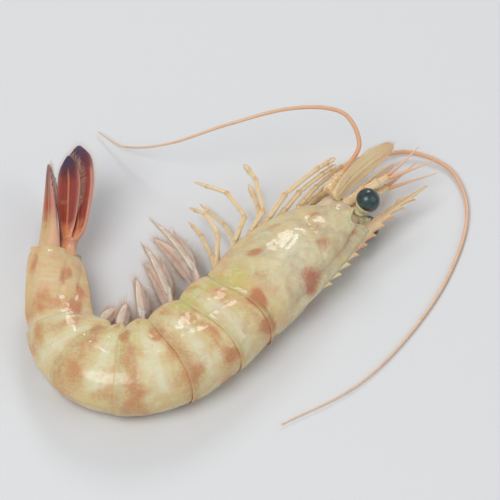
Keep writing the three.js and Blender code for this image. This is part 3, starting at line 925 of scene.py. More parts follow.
# Faint bands across the tail, and the pale ones between: place along the body, half length and strength
BANDS = (
    (3.0, 2.4, 0.4), (16.5, 2.6, 0.46), (28.0, 2.8, 0.54), (40.5, 2.6, 0.6), (54.5, 3.2, 0.54),
    (66.0, 2.4, 0.4), (76.0, 3.8, 0.5),
)
# The pale bands are partly the meat showing through and partly painted highlight
PALE_AND_HIGHLIGHT_BANDS = (
    (9.5, 2.3, 0.7), (22.3, 2.4, 0.8), (34.3, 2.4, 0.9), (47.3, 2.6, 0.9), (60.5, 2.6, 0.8), (70.5, 2.0, 0.5),
    (84.0, 3.0, 0.4),
)
GIRTH = 33.0                  # half the shell's girth in mm, where the back's reach is GIRTH_BACK
GIRTH_BACK = 13
RAGGED, RAGGED_SIZE = 2.2, 4.5    # how far the patches' edges wander in mm, and over what distance


def pigment(along, u):
    """The pigment's strength and redness, in patches with uneven edges, and how pale the shell is between,
    which is partly painted highlight.

    u is the share of the half girth, 0 at the middle of the back and 1 at the shell's lower edge.
    """
    where = np.stack([along, u * GIRTH, 0 * u], -1)
    girth = np.abs(u) * GIRTH + RAGGED * wobble(where, RAGGED_SIZE, 8.7)
    along = along + RAGGED * wobble(where, RAGGED_SIZE, 3.1)
    strength, redness, total = np.zeros(u.shape), np.zeros(u.shape), np.full(u.shape, 1e-6)
    for station, down, length, width, power, red in PATCHES:
        far = np.hypot((along - station) / length, (girth - down * GIRTH) / width)
        here = power * (1 - smooth(0.25, 1.5, far))
        strength = np.maximum(strength, here)
        redness += here * red
        total += here
    for station, length, power in BANDS:
        strength = np.maximum(strength, power * bell(along - station, length) * (1 - smooth(24, 31, girth)))
    # pale bands across the tail: partly the meat showing through, partly painted highlight
    pale = sum(power * bell(along - station, length) for station, length, power in PALE_AND_HIGHLIGHT_BANDS)
    pale = pale * (1 - strength) * smooth(1.0, 6.0, girth) * (1 - smooth(20, 30, girth))
    return strength, redness / total, pale


# ---- the carapace and the somites ----

# A ring's columns, as shares of the half girth that are negative on the right: the outer shell from one lower
# edge over the back to the other, the left edge's fold, the belly, and the right edge's fold
OUTER = np.linspace(-1, 1, 145)
BELLY = np.linspace(1, -1, 15)[1:-1]
FOLD = ((-0.2, -0.18), (-0.08, -0.46), (0.7, -0.62))    # towards the back, and away from the middle
FOLD_BLENDS = (0.5, 0.95)     # how far the fold's inner columns have gone over to the belly
FOLD_COLUMNS = len(FOLD) + len(FOLD_BLENDS)
COLUMN_U = np.concatenate([OUTER, np.full(FOLD_COLUMNS, 1.0), BELLY, np.full(FOLD_COLUMNS, -1.0)])
FOLD_SOFTNESS = (0.0, 0.3, 0.7, 1, 1)    # how far each of the fold's columns is belly rather than shell
COLUMN_BELLY = np.concatenate([np.zeros(len(OUTER)), FOLD_SOFTNESS, np.ones(len(BELLY)), FOLD_SOFTNESS[::-1]])
SHELL = 1 - COLUMN_BELLY      # 1 where a column is hard shell

ROUND = 0.55                  # share of the half girth that is the round back, before the flank begins
SQUARENESS = 0.9              # under 1, the back is a little squarer than an oval
BELLY_WIDTH = 0.84            # the belly's half width where it leaves the shell, over the shell's own there
ROW_SPACING = 0.34            # between a somite's rows, in mm
RIM_FRINGE_INSET = 6          # columns from a shell's lower edge to where its hairs' direction is taken from


def outline(along, u):
    """How far the shell lies from the axis towards the back and the side, for a share of the half girth."""
    size = np.abs(u)
    angle = np.clip(size / ROUND, 0, 1) * np.pi / 2
    drop = flank_share(u)
    dorsal = BACK(along) * np.cos(angle) ** SQUARENESS - SHELL_DEPTH(along) * drop
    side = HALF_WIDTH(along) * (np.sin(angle) ** SQUARENESS - (1 - SHELL_EDGE) * drop**2)
    return dorsal, np.sign(u) * side


def flank_share(u):
    """0 on the round back, and from there down the flank to 1 at the shell's lower edge."""
    return np.clip((np.abs(u) - ROUND) / (1 - ROUND), 0, 1)


def girth_at(along, size):
    """Millimetres round the shell from the middle of the back, for a share of the half girth."""
    return size * GIRTH * BACK(along) / GIRTH_BACK


def shell_skin(along, swell, lobe, sternum=0.0):
    """Rows of closed rings round the body.

    Along, swell and lobe are (rows, columns): where each point is, how far it stands out, and how much
    deeper the shell's lower edge hangs. The sternum is how far the middle of the belly stands down.
    """
    count = len(OUTER)
    d, w = outline(along[:, :count], OUTER[None])
    d = d - lobe[:, :count] * flank_share(OUTER) ** 1.5
    belly_d = -SHELL_DEPTH(along) * BELLY_INSET
    belly_w = HALF_WIDTH(along) * SHELL_EDGE * BELLY_WIDTH

    def fold(edge, sign, column):
        """The columns from the shell's edge inwards to the belly."""
        fall = [d[:, edge] + step for step, _ in FOLD]
        run = [w[:, edge] + sign * step for _, step in FOLD]
        for blend in FOLD_BLENDS:
            fall.append((1 - blend) * fall[len(FOLD) - 1] + blend * belly_d[:, column])
            run.append((1 - blend) * run[len(FOLD) - 1] + blend * sign * belly_w[:, column])
        return np.column_stack(fall), np.column_stack(run)

    left_d, left_w = fold(-1, 1, count)
    right_d, right_w = fold(0, -1, -FOLD_COLUMNS)
    middle = slice(count + FOLD_COLUMNS, count + FOLD_COLUMNS + len(BELLY))
    hump = 1 - BELLY[None] ** 2
    under_d = belly_d[:, middle] * (1 - 0.08 * hump) - sternum * hump
    under_w = belly_w[:, middle] * 0.9 * BELLY[None]
    d = np.concatenate([d, left_d, under_d, right_d[:, ::-1]], 1)
    w = np.concatenate([w, left_w, under_w, right_w[:, ::-1]], 1)
    run_d = np.roll(d, -1, 1) - np.roll(d, 1, 1)
    run_w = np.roll(w, -1, 1) - np.roll(w, 1, 1)
    size = np.hypot(run_d, run_w) + 1e-9
    return place(along, d + swell * run_w / size, w - swell * run_d / size)


def shell_marks(along, margin, grey):
    """What the shell's material reads, for rows of columns at those places along the body."""
    u = np.broadcast_to(COLUMN_U, along.shape)
    size = np.abs(u)
    strength, redness, pale = pigment(along, u)
    fibres = 0.5 + 0.5 * np.sin(2.9 * along + 9 * size + 1.5 * np.sin(0.8 * along))
    pale = pale + 0.22 * fibres * smooth(0.1, 0.3, size) * (along > 0)
    # a whitish zone on the middle of the carapace's flank, partly painted highlight
    pale = pale + 0.9 * bell(along + 21, 9) * bell(size - 0.44, 0.2)
    moss = smooth(0.42, 0.72, size) * (1 - 0.5 * smooth(0.9, 1.0, size))
    moss = moss * (0.55 + 0.45 * smooth(48, -2, along)) * (1 - 0.8 * smooth(-12, -24, along))
    margin = margin + 0.8 * smooth(64, 80, along)
    marks = {"patch": strength, "margin": margin, "grey": grey, "pale": pale, "moss": moss}
    marks = {name: value * SHELL for name, value in marks.items()}
    return {**marks, "hue": redness, "belly": COLUMN_BELLY}


# How a shell's rim turns inwards, row by row, as (inwards, along) in mm
RIM = np.array([(0.05, 0.12), (0.16, 0.15), (0.28, 0.06), (0.34, -0.5), (0.38, -1.8)])
RIM_SOFTNESS = np.where(np.abs(COLUMN_U) > 0.84, 0.35, 1.0) * (1 - 0.6 * COLUMN_BELLY)


def rim(rows, end, steps, way):
    """The rows that turn a shell's edge inwards, as along, swell and lobe.

    Rows are the shell's own, the end is 0 for its front edge and -1 for its rear one, and way is -1 or 1, the
    way that the rim rolls over.
    """
    along, swell, lobe = (part[end] for part in rows)
    inwards, run = steps.T[..., None]
    lobes = np.repeat(lobe[None], len(steps), 0)
    return along + way * run * RIM_SOFTNESS, swell - inwards * RIM_SOFTNESS, lobes


def rim_fringe(points, length):
    """Guide lines for the short hairs on the lower edges of a shell on both flanks."""
    last = len(OUTER) - 1
    lines = []
    for edge, inner in ((last, last - RIM_FRINGE_INSET), (0, RIM_FRINGE_INSET)):
        aim = unit(points[:, edge] - points[:, inner])
        lines.append((points[:, edge], {"aim": aim, "length": np.full(len(points), length * MM)}))
    return lines


KEELS = (0, 0, 0.12, 0.4, 0.55, 0.75)     # height of the ridge along each somite's back
BENT = 0.2                    # bend in radians over which a somite shows what slides under the next
FRONT_TUCK, REAR_REACH = 1.3, 0.35        # how far a ring reaches past its somite's two ends
BARE_ROWS = 4                 # at a shell's front, with no fringe


def somite_swell(index, last, along, behind, t, size):
    """How far a somite's surface stands out of the body's plain outline."""
    girth = girth_at(along, size)
    swell = -0.12 + 0.42 * smooth(0.0, 1.0, t) + 0 * size
    # the crease behind the smooth part that slides under the ring in front, on the back alone
    back_only = np.clip(1 - size / 0.5, 0, 1)
    smooth_part = 0.3 + 1.5 * back_only * (SOMITE_BENDS[max(index - 1, 0)] > BENT)
    swell -= 0.1 * bell(along - STARTS[index] - smooth_part - 1.4, 0.35) * back_only**0.5
    # the crease before the rear edge, and the groove along the flank with the full lobe below it
    swell -= 0.09 * bell(behind - 1.4, 0.35)
    swell -= 0.26 * bell(girth - (18.6 + 3.4 * (t - 0.45)), 0.8) * smooth(0.15, 0.35, t)
    swell += 0.3 * smooth(20.5, 25.0, girth) * np.sin(np.pi * t) * (size < 1)
    swell += KEELS[index] * bell(girth, 0.9) * smooth(0.12, 0.3, t)
    if last:
        # grooves beside the keel, a narrow rear end, and a short scar on the flank
        swell -= 0.22 * bell(girth - 2.6, 0.8) * smooth(0.1, 0.3, t)
        swell -= 1.1 * smooth(0.84, 1.0, t) ** 2 * (0.4 + 0.6 * smooth(6, 14, girth))
        swell -= 0.3 * bell(girth - 12.5, 0.7) * bell(t - 0.55, 0.3)
    return swell


def somite_part(sculpt, index):
    """A ring of the tail's shell with the belly inside it. Its fringe's guide lines come back."""
    start, length = STARTS[index], SOMITE_LENGTHS[index]
    last = index == len(SOMITE_LENGTHS) - 1
    size = np.abs(COLUMN_U)[None]
    t = np.linspace(0, 1, int(length / ROW_SPACING))[:, None]
    rear_lobe = np.sin(np.pi * np.clip((size - 0.45) / 0.55, 0, 1))
    front = start - FRONT_TUCK + 0 * size
    rear = start + length + REAR_REACH + (-0.3 * size if last else 0.9 * rear_lobe)
    along = front + (rear - front) * t
    behind = rear - along
    swell = somite_swell(index, last, along, behind, t, size)
    hang = np.sin(np.pi * np.clip(t, 0.02, 0.98) ** (1.6 if last else 0.85)) ** 0.7
    lobe = (2.5 if index < PLEATED_SOMITES else 1.0) * hang + 0 * size - 0.8
    rough = shell_skin(along, swell, lobe)
    swell = swell + (0.16 * wobble(rough, 5.0, 5 + index) + 0.07 * wobble(rough, 1.7, index)) * (size < 1)
    rows = (along, swell, lobe)
    whole = [np.vstack(parts) for parts in zip(rows, rim(rows, -1, RIM, 1))]
    sternum = 0.5 * np.append(np.sin(np.pi * t[:, 0]), np.zeros(len(RIM)))[:, None]
    points = shell_skin(*whole, sternum=sternum)
    behind = np.vstack([behind, np.zeros((len(RIM), len(COLUMN_U)))])
    margin = bell(behind, 0.55) + 0.6 * smooth(0.94, 1.0, size)
    sculpt.add(points, **shell_marks(whole[0], margin, 0.35 * bell(behind - 4.0, 2.5)))
    return rim_fringe(points[BARE_ROWS : -len(RIM)], 0.8)


# The carapace's edges along the body, by the share of the half girth: the front one has the eye's socket and
# the spine below it
FRONT_EDGE = track([
    (0, -48.6), (0.1, -48.4), (0.2, -46.6), (0.3, -45.6), (0.37, -46.6), (0.43, -49.8), (0.5, -47.2),
    (0.62, -46.4), (0.76, -45.6), (0.9, -43.6), (1, -40.5),
])
REAR_EDGE = track([(0, 0.7), (0.4, 0.3), (0.8, 1.5), (0.93, 0.6), (1, -0.9)])
BELLY_FRONT, BELLY_REAR = -41.5, 0.2
CARAPACE_ROWS = 132
SPINES = ((-35.2, 15.0, 0.9), (-46.8, 14.0, 0.5))    # tip's place along, girth and height

# The rostrum: its upper and lower edges' reach from the axis, by how far ahead they are, and its teeth
CREST = track([(10, 12.7), (28, 12.8), (44, 11.4), (60, 10.8), (ROSTRUM_TIP, 12.2)])
KEEL = track([(42, 6.6), (58, 7.9), (ROSTRUM_TIP, 11.4)])
ROSTRUM_HALF_WIDTH = track([(9, 0.9), (30, 1.15), (48, 1.15), (62, 0.75), (ROSTRUM_TIP, 0.2)])
ROSTRUM_START, ROSTRUM_STEP = 9, 0.2
BURIED_UNTIL, BURIED_AT = 42, 6.0     # how far ahead its lower edge is inside the head, and at what height
TOOTH_PITCH, TOOTH_HEIGHT, FIRST_TOOTH, TEETH = 4.6, 1.5, 22, 10
LOWER_TOOTH = 1.2                     # the one tooth below, near the tip


def carapace_swell(along, size):
    """How far the carapace's surface stands out of its plain outline."""
    girth = girth_at(along, size)
    swell = 0 * girth
    # the crest under the rostrum, and the groove beside it
    swell += np.clip(CREST(-along) - BACK(along), 0, 3) * 0.62 * bell(girth, 1.7) * smooth(2, 14, -along)
    swell += 0.32 * bell(girth, 1.0) * smooth(-3, -9, along)
    swell -= 0.55 * bell(girth - 3.2, 0.95) * smooth(-5, -14, along)
    # the slanting groove across the shoulder
    shoulder = girth - (6.0 + (along + 27) * -1.5)
    swell -= 0.34 * bell(shoulder, 1.5) * smooth(-36.5, -33, along) * (1 - smooth(-29, -26, along))
    # the short grooves behind the cheek spine and below it
    cheek = along + 34.5 - 0.25 * (girth - 15)
    swell -= 0.28 * bell(cheek, 1.5) * smooth(9, 12, girth) * (1 - smooth(18, 21, girth))
    swell -= 0.28 * bell(girth - 18.4 - 0.05 * (along + 40), 0.9) * (1 - smooth(-37, -31, along))
    # the ridge along the flank with the groove above it, and the full gill chamber
    ridge = girth + 0.04 * along
    fade = 1 - smooth(-8, -3, along)
    swell += 0.35 * bell(ridge - 15.2, 1.6) * smooth(-30, -25, along) * fade
    swell -= 0.3 * bell(ridge - 13.0, 1.0) * smooth(-30, -24, along) * fade
    swell += 0.55 * bell(size - 0.76, 0.13) * smooth(-36, -24, along) * (1 - smooth(-6, 0, along))
    # the thickened lower edge, and the spines
    swell += 0.14 * smooth(0.955, 0.985, size)
    for tip, where, height in SPINES:
        behind = along - tip
        swell += height * bell(girth - where, 0.55) * smooth(3.2, 0.0, behind) * smooth(-0.35, 0.0, behind)
    return swell


def carapace_part(sculpt):
    """The head's shell with the underside inside it. Its fringe's guide lines come back."""
    size = np.abs(COLUMN_U)[None]
    t = np.linspace(0, 1, CARAPACE_ROWS)[:, None] ** 1.08
    front = FRONT_EDGE(size) * SHELL + BELLY_FRONT * COLUMN_BELLY
    rear = REAR_EDGE(size) * SHELL + BELLY_REAR * COLUMN_BELLY
    along = front + (rear - front) * t
    lobe = 0.6 * np.sin(np.pi * t) + 0 * size
    swell = carapace_swell(along, size) * SHELL + 0.25 * smooth(0.9, 1, t)
    swell = swell - (0.14 * bell(rear - along - 1.7, 0.45) - 0.05 * bell(rear - along - 0.5, 0.6)) * SHELL
    swell = swell - 0.15 * bell(along - front - 1.0, 0.4) * SHELL
    rough = shell_skin(along, swell, lobe)
    swell = swell + (0.2 * wobble(rough, 6.5, 2) + 0.08 * wobble(rough, 2.0, 4)) * (size < 1)
    rows = (along, swell, lobe)
    parts = zip(rim(rows, 0, RIM[::-1], -1), rows, rim(rows, -1, RIM, 1))
    whole = [np.vstack(part) for part in parts]
    points = shell_skin(*whole)
    on_rim = np.zeros((len(RIM), len(COLUMN_U)))
    far = on_rim + 50
    behind = np.vstack([far, rear - along, on_rim])
    ahead = np.vstack([on_rim, along - front, far])
    margin = bell(behind, 0.6) + 0.8 * smooth(0.95, 1.0, size) + 0.8 * bell(ahead, 0.7)
    sculpt.add(points, **shell_marks(whole[0], margin, 0.9 * smooth(-2, -12, whole[0])))
    return rim_fringe(points[len(RIM) + BARE_ROWS : -len(RIM) - 2], 0.7)


def head_block(sculpt):
    """The soft front of the head inside the carapace's edge, which carries the eyes and the feelers."""
    rows, columns, rear, front = 40, 40, -38, -51.4
    t = np.linspace(0, 1, rows)
    along = rear + (front - rear) * (1 - (1 - t) ** 1.6)
    wide = track([(-51.5, 1.2), (-51, 3.1), (-49.5, 4.1), (-46, 4.8), (-38, 6.6)])(along)
    high = track([(-51.5, 2.0), (-51, 4.9), (-49.5, 6.0), (-46, 6.8), (-38, 7.4)])(along)
    middle = track([(-51.5, -1.6), (-46, -1.0), (-38, 0)])(along)
    angle = circle(columns)
    dorsal = middle[:, None] + high[:, None] * np.cos(angle) - 1.2 * (np.cos(angle) < -0.4)
    points = place(along[:, None], dorsal, wide[:, None] * np.sin(angle))
    lumps = wobble(points, 2.2, 6)
    outwards = unit(points - points.mean(1, keepdims=True))
    points = points + outwards * (0.3 * lumps)[..., None]
    sculpt.add(points, belly=0.8, patch=0.3 * np.clip(lumps, 0, 1), hue=0.5, margin=0.0, grey=0.6)


def rostrum_part(sculpt):
    """The toothed blade over the eyes, with a ridge along each side."""
    ahead = np.arange(ROSTRUM_START, ROSTRUM_TIP + 0.01, ROSTRUM_STEP)
    tooth_count = (ahead - FIRST_TOOTH) / TOOTH_PITCH
    phase = tooth_count - np.floor(tooth_count)
    toothed = (tooth_count >= 0) & (tooth_count < TEETH)
    rise = np.clip(phase / 0.75, 0, 1) ** 1.5 * (1 - smooth(0.75, 0.84, phase))
    tooth = np.where(toothed, TOOTH_HEIGHT * rise, 0)[:, None]
    from_tip = ahead - ROSTRUM_TIP
    below = (smooth(-12, -8.8, from_tip) * (1 - smooth(-8.7, -8, from_tip)))[:, None]
    # Up one side of the blade and down the other: v is 0 at its lower edge and 1 at its upper one
    rise_count = 15
    v = np.concatenate([np.linspace(0, 1, rise_count), np.linspace(1, 0, rise_count)[1:-1]])
    hand = np.concatenate([np.ones(rise_count), -np.ones(rise_count - 2)])
    hand[[0, rise_count - 1]] = 0
    upper, lower = smooth(0.72, 1.0, v)[None], 1 - smooth(0.0, 0.3, v)
    top = CREST(ahead)
    bottom = np.where(ahead < BURIED_UNTIL, BURIED_AT, KEEL(ahead))
    height = bottom[:, None] + (top - bottom)[:, None] * v
    height = height + tooth * upper - LOWER_TOOTH * below * lower
    bulk = 0.3 + 0.75 * bell(v - 0.36, 0.16) + 0.35 * bell(v - 0.2, 0.25)
    bulk = bulk * np.clip(1 - np.abs(2 * v - 1) ** 5, 0, 1) ** 0.5
    lean = 0.55 * tooth * upper - 0.5 * below * lower
    side = hand * bulk * ROSTRUM_HALF_WIDTH(ahead)[:, None]
    points = place(-(ahead[:, None] + lean), height, side)
    red = np.clip(bell(v - 0.36, 0.12) * 0.8 + upper * 0.9, 0, 1) * smooth(30, 44, ahead)[:, None]
    sculpt.add(points, patch=0.75 * red, hue=0.35, margin=0.7, grey=0.2, pale=0.6)


# ---- the head's pieces ----

# Where an eye's stalk starts and where its globe's middle is: ahead of the carapace's rear edge, dorsal, side
EYE_FOOT = (CARAPACE_LENGTH + 2.6, 3.4, 2.0)
EYE_CENTRE = (CARAPACE_LENGTH + 5.6, 5.2, 7)
COLLAR_BEFORE = 2.2           # from the stalk's far end to the globe's middle
GLOBE_RUN = 5.75              # from the stalk's far end to the globe's far side


def eye_part(sculpt, sign):
    """A stalk and the globe on its end, a little oval, with a fine groove between them."""
    foot, centre = ahead_of(*EYE_FOOT, sign), ahead_of(*EYE_CENTRE, sign)
    axle = centre - foot
    length = float(np.linalg.norm(axle))
    end = EYE_RADIUS - 0.01
    collar = length - COLLAR_BEFORE
    rise = np.concatenate([np.linspace(0, collar, 26), collar + GLOBE_RUN * np.linspace(0, 1, 52)[1:]])
    globe = np.sqrt(np.clip(EYE_RADIUS**2 - (rise - length) ** 2, 0.01, None))
    stalk = track([(0, 1.1), (0.8, 1.7), (1.6, 1.55), (2.6, 2.1), (collar, 2.85)])(rise)
    radius = np.where(rise < collar, stalk, globe) - 0.16 * bell(rise - (length - 2.15), 0.22)
    angle = circle(56)
    outwards = frames(-CARAPACE_LENGTH)[2]
    path = route([foot, foot + axle / 2, centre, centre + axle / length * end])
    t = np.clip(rise / (length + end), 0, 1)
    x = radius[:, None] * np.cos(angle) * (1 + 0.05 * np.cos(2 * angle))
    points = lay(path, t, outwards, x, radius[:, None] * np.sin(angle))
    sculpt.add(points, cornea=smooth(length - 2.25, length - 1.95, rise)[:, None])


def antennal_scale_part(sculpt, sign):
    """A leaf-shaped blade beneath the eye. Its points and marks come back for the fringe."""
    stations = ((49, -4.3, 5.2), (56, -4.9, 5.8), (66, -4.6, 6), (76.4, -3.4, 5))
    path = route([ahead_of(*s, sign) for s in stations])
    _, _, back, flank = frames(-CARAPACE_LENGTH)
    across = flank * 0.97 * sign - back * 0.24
    width = track([(0, 1.9), (0.12, 2.8), (0.3, 3.7), (0.6, 4.0), (0.85, 3.0), (1, 1.6)])
    thin = track([(0, 0.9), (0.2, 0.45), (1, 0.22)])
    ribs = [(-0.78, 0.5, 0.5, 0.0, 0.96), (-0.1, 0.4, 0.28, 0.05, 0.9), (0.35, 0.3, 0.14, 0.1, 0.85)]
    points, marks = leaf(path, across, width, thin, ribs, (9, 0.035), dome=0.07)
    sculpt.add(points, **marks, edge=0.74 + 0.26 * np.abs(marks["across"]) ** 3, joint=0.25 * marks["rib"])
    return points, marks


# A link's girth along it, with a collar near its far end
LINK_SHAPE = track([
    (0, 0.5), (0.05, 0.78), (0.2, 0.97), (0.55, 0.9), (0.84, 0.98), (0.93, 1.12), (0.98, 1.0), (1, 0.5),
])


def stalk_part(sculpt, corners, radii, across, flat=0.85, bow=None, total=None):
    """A row of stiff links with a collar at each joint, from corner to corner.

    Flat is the thickness over the width, bow how each link's middle stands off its line, over its length, and
    total how many links the whole limb has.
    """
    total = total or len(radii)
    for i, radius in enumerate(radii):
        a, b = np.asarray(corners[i]), np.asarray(corners[i + 1])
        length = float(np.linalg.norm(b - a))
        way = (b - a) / length
        overlap = min(0.35 * radius, 0.2 * length)
        a, b = a - way * overlap * 0.3, b + way * overlap * 0.5
        middle = (a + b) / 2 + (0 if bow is None else bow * length)
        points, marks = tube(
            route([a, middle, b]), across, lambda t: radius * LINK_SHAPE(t),
            lambda t: flat * radius * LINK_SHAPE(t), rows=max(18, int(length / 0.3)), columns=18,
        )
        t = marks["reach"]
        marks["joint"] = bell(t - 0.94, 0.06) + bell(t, 0.05)
        marks["reach"] = (i + t) / total
        sculpt.add(points, **marks)


def feeler_stem(sculpt, stations, radii, sign):
    """A feeler's stiff stem. Its corners come back."""
    corners = [ahead_of(*s, sign) for s in stations]
    stalk_part(sculpt, corners, radii, frames(-CARAPACE_LENGTH)[3], flat=0.9)
    return corners


def antennule_part(sculpt, sign):
    """The antennule's stem. The paths and radii of its two short whips come back."""
    stations = ((50.1, -1.6, 2.5), (58.5, -0.4, 2.6), (63.5, 0.8, 2.6), (67, 1.8, 2.6))
    feeler_stem(sculpt, stations, (1.75, 1.5, 1.3), sign)
    whips = []
    for lift in (2.2, -1.2):
        stations = ((65.8, 1.45 + 0.15 * lift, 2.6), (73, 3 + lift, 2.9), (82, 4.6 + 2.2 * lift, 3.6))
        path = route([ahead_of(*s, sign) for s in stations])
        whips.append((path, track([(0, 0.75), (0.4, 0.5), (1, 0.16)])))
    return whips


# The long whips' routes, from the place on the surface under the carapace's rear edge
ANTENNA_ROUTES = {
    1: ((36, 58, 19), (31, 67, 23), (16, 68, 24), (-4, 64, 21), (-22, 64, 12), (-36, 70, 3.5), (-44, 78, 1)),
    -1: (
        (36, 60, 4.5), (50, 69, 2.2), (64, 63, 1.1), (69, 46, 0.9), (63, 22, 0.9), (50, -2, 0.9),
        (34, -21, 0.9), (12, -35, 0.9),
    ),
}


def antenna_part(sculpt, sign):
    """The antenna's stem. The path and radius of its long whip come back."""
    stations = ((50.2, -7.6, 4.4), (53.4, -8.1, 4.6), (56.0, -8.4, 4.6), (58.4, -8.6, 4.6))
    corners = feeler_stem(sculpt, stations, (2.0, 1.75, 1.25), sign)
    points = [corners[-1], *(np.array(point, float) + SHIFT for point in ANTENNA_ROUTES[sign])]
    return [(route(points), track([(0, 1.0), (0.05, 0.8), (0.5, 0.55), (1, 0.22)]))]


# ---- the jointed limbs ----

# From the front pair to the rear: where each starts ahead of the carapace's rear edge, its links' lengths,
# their leans on each side in degrees, 0 pointing ahead and 90 straight out of the belly, and how far out from
# the middle each link ends
LEGS = (
    {"ahead": 33, "links": (11, 10, 5.5), "left": (2, -6, -8), "right": (0, -7, -9), "out": (5.2, 5.6, 5.2)},
    {"ahead": 26, "links": (13, 14, 7), "left": (3, -6, -8), "right": (8, -3, -6), "out": (7.9, 8.5, 7.6)},
    {"ahead": 19.5, "links": (11, 12, 8), "left": (8, 52, 66), "right": (16, 42, 60), "out": (7, 7.6, 6)},
    {"ahead": 13, "links": (12, 10, 11), "left": (18, 74, 106), "right": (28, 66, 84), "out": (8, 9, 8.6)},
    {"ahead": 6.5, "links": (11, 9, 6), "left": (38, 66, 96), "right": (48, 62, 80), "out": (6, 5.6, 4.4)},
)
MAXILLIPED = {
    "ahead": 40.5, "links": (10, 11, 7), "left": (4, -4, -14), "right": (2, -6, -16), "out": (2.8, 2.8, 2.4),
}
HIP_LENGTH = 3.6
HIP_OUT = (2.2, 2.6)          # distances from the middle at the hip's two ends
HIP_DEPTH = 0.6               # how far the hip starts inside the belly
CLAWED_LEGS = 3               # the front pairs, which end in small pincers
LIMB_LINKS = 6
CLAW_SHAPE = track([(0, 0.8), (0.15, 1.0), (0.5, 0.8), (0.85, 0.4), (1, 0.1)])
BRISTLES_A_ROW = 12


def limb_corners(limb, hand, sign):
    """The two ends of a limb's hip and of each of its links."""
    forward, depth = limb["ahead"], float(SHELL_DEPTH(-limb["ahead"])) * BELLY_INSET - HIP_DEPTH
    corners = [(forward, depth)]
    for length, lean in zip((HIP_LENGTH + 2 * HIP_DEPTH, *limb["links"]), np.radians((90, *limb[hand]))):
        forward, depth = forward + length * math.cos(lean), depth + length * math.sin(lean)
        corners.append((forward, depth))
    return [ahead_of(f, -d, s, sign) for (f, d), s in zip(corners, (*HIP_OUT, *limb["out"]))]


def limb_part(sculpt, limb, hand, sign, thickness, clawed):
    """A limb that ends in a point or a pincer. Lines of points for its bristles come back, with their aim."""
    corners = limb_corners(limb, hand, sign)
    flank = frames(-limb["ahead"])[3]
    knee = corners[1] + (corners[2] - corners[1]) * 0.34
    palm = corners[3] + (corners[4] - corners[3]) * (0.5 if clawed else 0.62)
    joints = [corners[0], corners[1], knee, corners[2], corners[3], palm]
    radii = [r * thickness for r in (1.5, 1.25, 1.08, 0.92, 1.0 if clawed else 0.75)]
    stalk_part(sculpt, joints, radii, flank, flat=0.78, bow=flank * sign * 0.015, total=LIMB_LINKS)
    way = unit(corners[4] - corners[3])
    opening = np.cross(way, flank)
    girth = thickness * (0.46 if clawed else 0.56)
    for claw in (1, -1) if clawed else (0,):
        side = opening * claw * 0.38 * thickness
        tip = corners[4] + side * 0.3
        path = route([palm - way * 0.5 + side, (palm + tip) / 2 + side * 1.5 + flank * 0.1, tip])
        points, marks = tube(path, flank, lambda t: girth * CLAW_SHAPE(t), rows=24, columns=10)
        marks["reach"] = (LIMB_LINKS - 1 + marks["reach"]) / LIMB_LINKS
        sculpt.add(points, **marks)
    lines = []
    t = np.linspace(0.08, 0.92, BRISTLES_A_ROW)[:, None]
    for a, b, radius in zip(joints[1:-1], joints[2:], radii[1:]):
        for out in (opening, -opening):
            lines.append((a + (b - a) * t + out * radius * 0.74, out + unit(b - a) * 0.8))
    return lines


# ---- the swimmerets ----

# From the front pair to the rear: the way each leaves the belly in plan, in degrees from +X, how far it curls
# towards the tail, and its length
SWIMMERETS = ((92, 44, 33), (86, 36, 30), (78, 26, 22), (62, 20, 14), (42, 12, 10))
# The long paddle and the short one: reach, lift and bow off the stem's line, half width, and turn
PADDLES = ((1.0, 1.2, 2, 2.2, 1.2), (0.84, -0.8, -4, 1.7, 0.7))
PADDLE_SHAPE = ((0, 0.6), (0.12, 0.85), (0.4, 1.0), (0.75, 0.7), (1, 0.2))
PADDLE_RINGS, PADDLE_HALF = 0.75, 16      # length of one fine ring in mm, and columns on one face


def swimmeret_part(sculpt, index, sign):
    """A stout stem with a long and a short paddle, whose points and marks come back for their fringes."""
    along = STARTS[index] + 0.5 * SOMITE_LENGTHS[index]
    flank = frames(along)[3]
    depth = float(SHELL_DEPTH(along)) * BELLY_INSET - 0.4
    foot = place(along, -depth, sideways(0.28 * float(HALF_WIDTH(along)), sign))
    heading, curl, length = SWIMMERETS[index]

    def at(reach, lift, bow=0.0):
        turn = math.radians(heading + curl * reach / 2 + bow)
        way = np.array([math.cos(turn), math.sin(turn), 0])
        return foot + way * reach * length + flank * sign * lift

    corners = [at(-0.03, 0), at(0.12, 0.1), at(0.26, 0.3), at(0.42, 0.5)]
    stalk_part(sculpt, corners, (1.5, 1.65, 1.5), flank, flat=0.62, total=4)
    paddles = []
    for reach, lift, bow, width, turn in PADDLES:
        stations = (
            (0.36, 0.4 * lift), (0.55, 0.8 * lift, bow), (0.78 * reach, lift, bow), (reach, lift, bow),
        )
        path = route([at(*s) for s in stations])
        outwards = np.cross(flank, unit(path(1.0) - path(0.0)))
        wide = track([(t, part * width) for t, part in PADDLE_SHAPE])
        thin = track([(0, 0.55), (0.3, 0.34), (1, 0.2)])
        rings = max(9, int(length * reach / PADDLE_RINGS))
        points, marks = leaf(
            path, flank * sign + outwards * turn, wide, thin, [(0.0, 0.35, 0.26, 0, 0.95)], dome=0.14,
            rows=6 * rings, half=PADDLE_HALF,
        )
        ring = 0.012 * np.cos(2 * np.pi * marks["reach"] * rings)[..., None]
        points = points + outwards * ring * np.sign(np.sin(circle(2 * PADDLE_HALF)))[None, :, None]
        sculpt.add(points, **marks)
        paddles.append((points, marks))
    return paddles


# ---- the tail fan ----

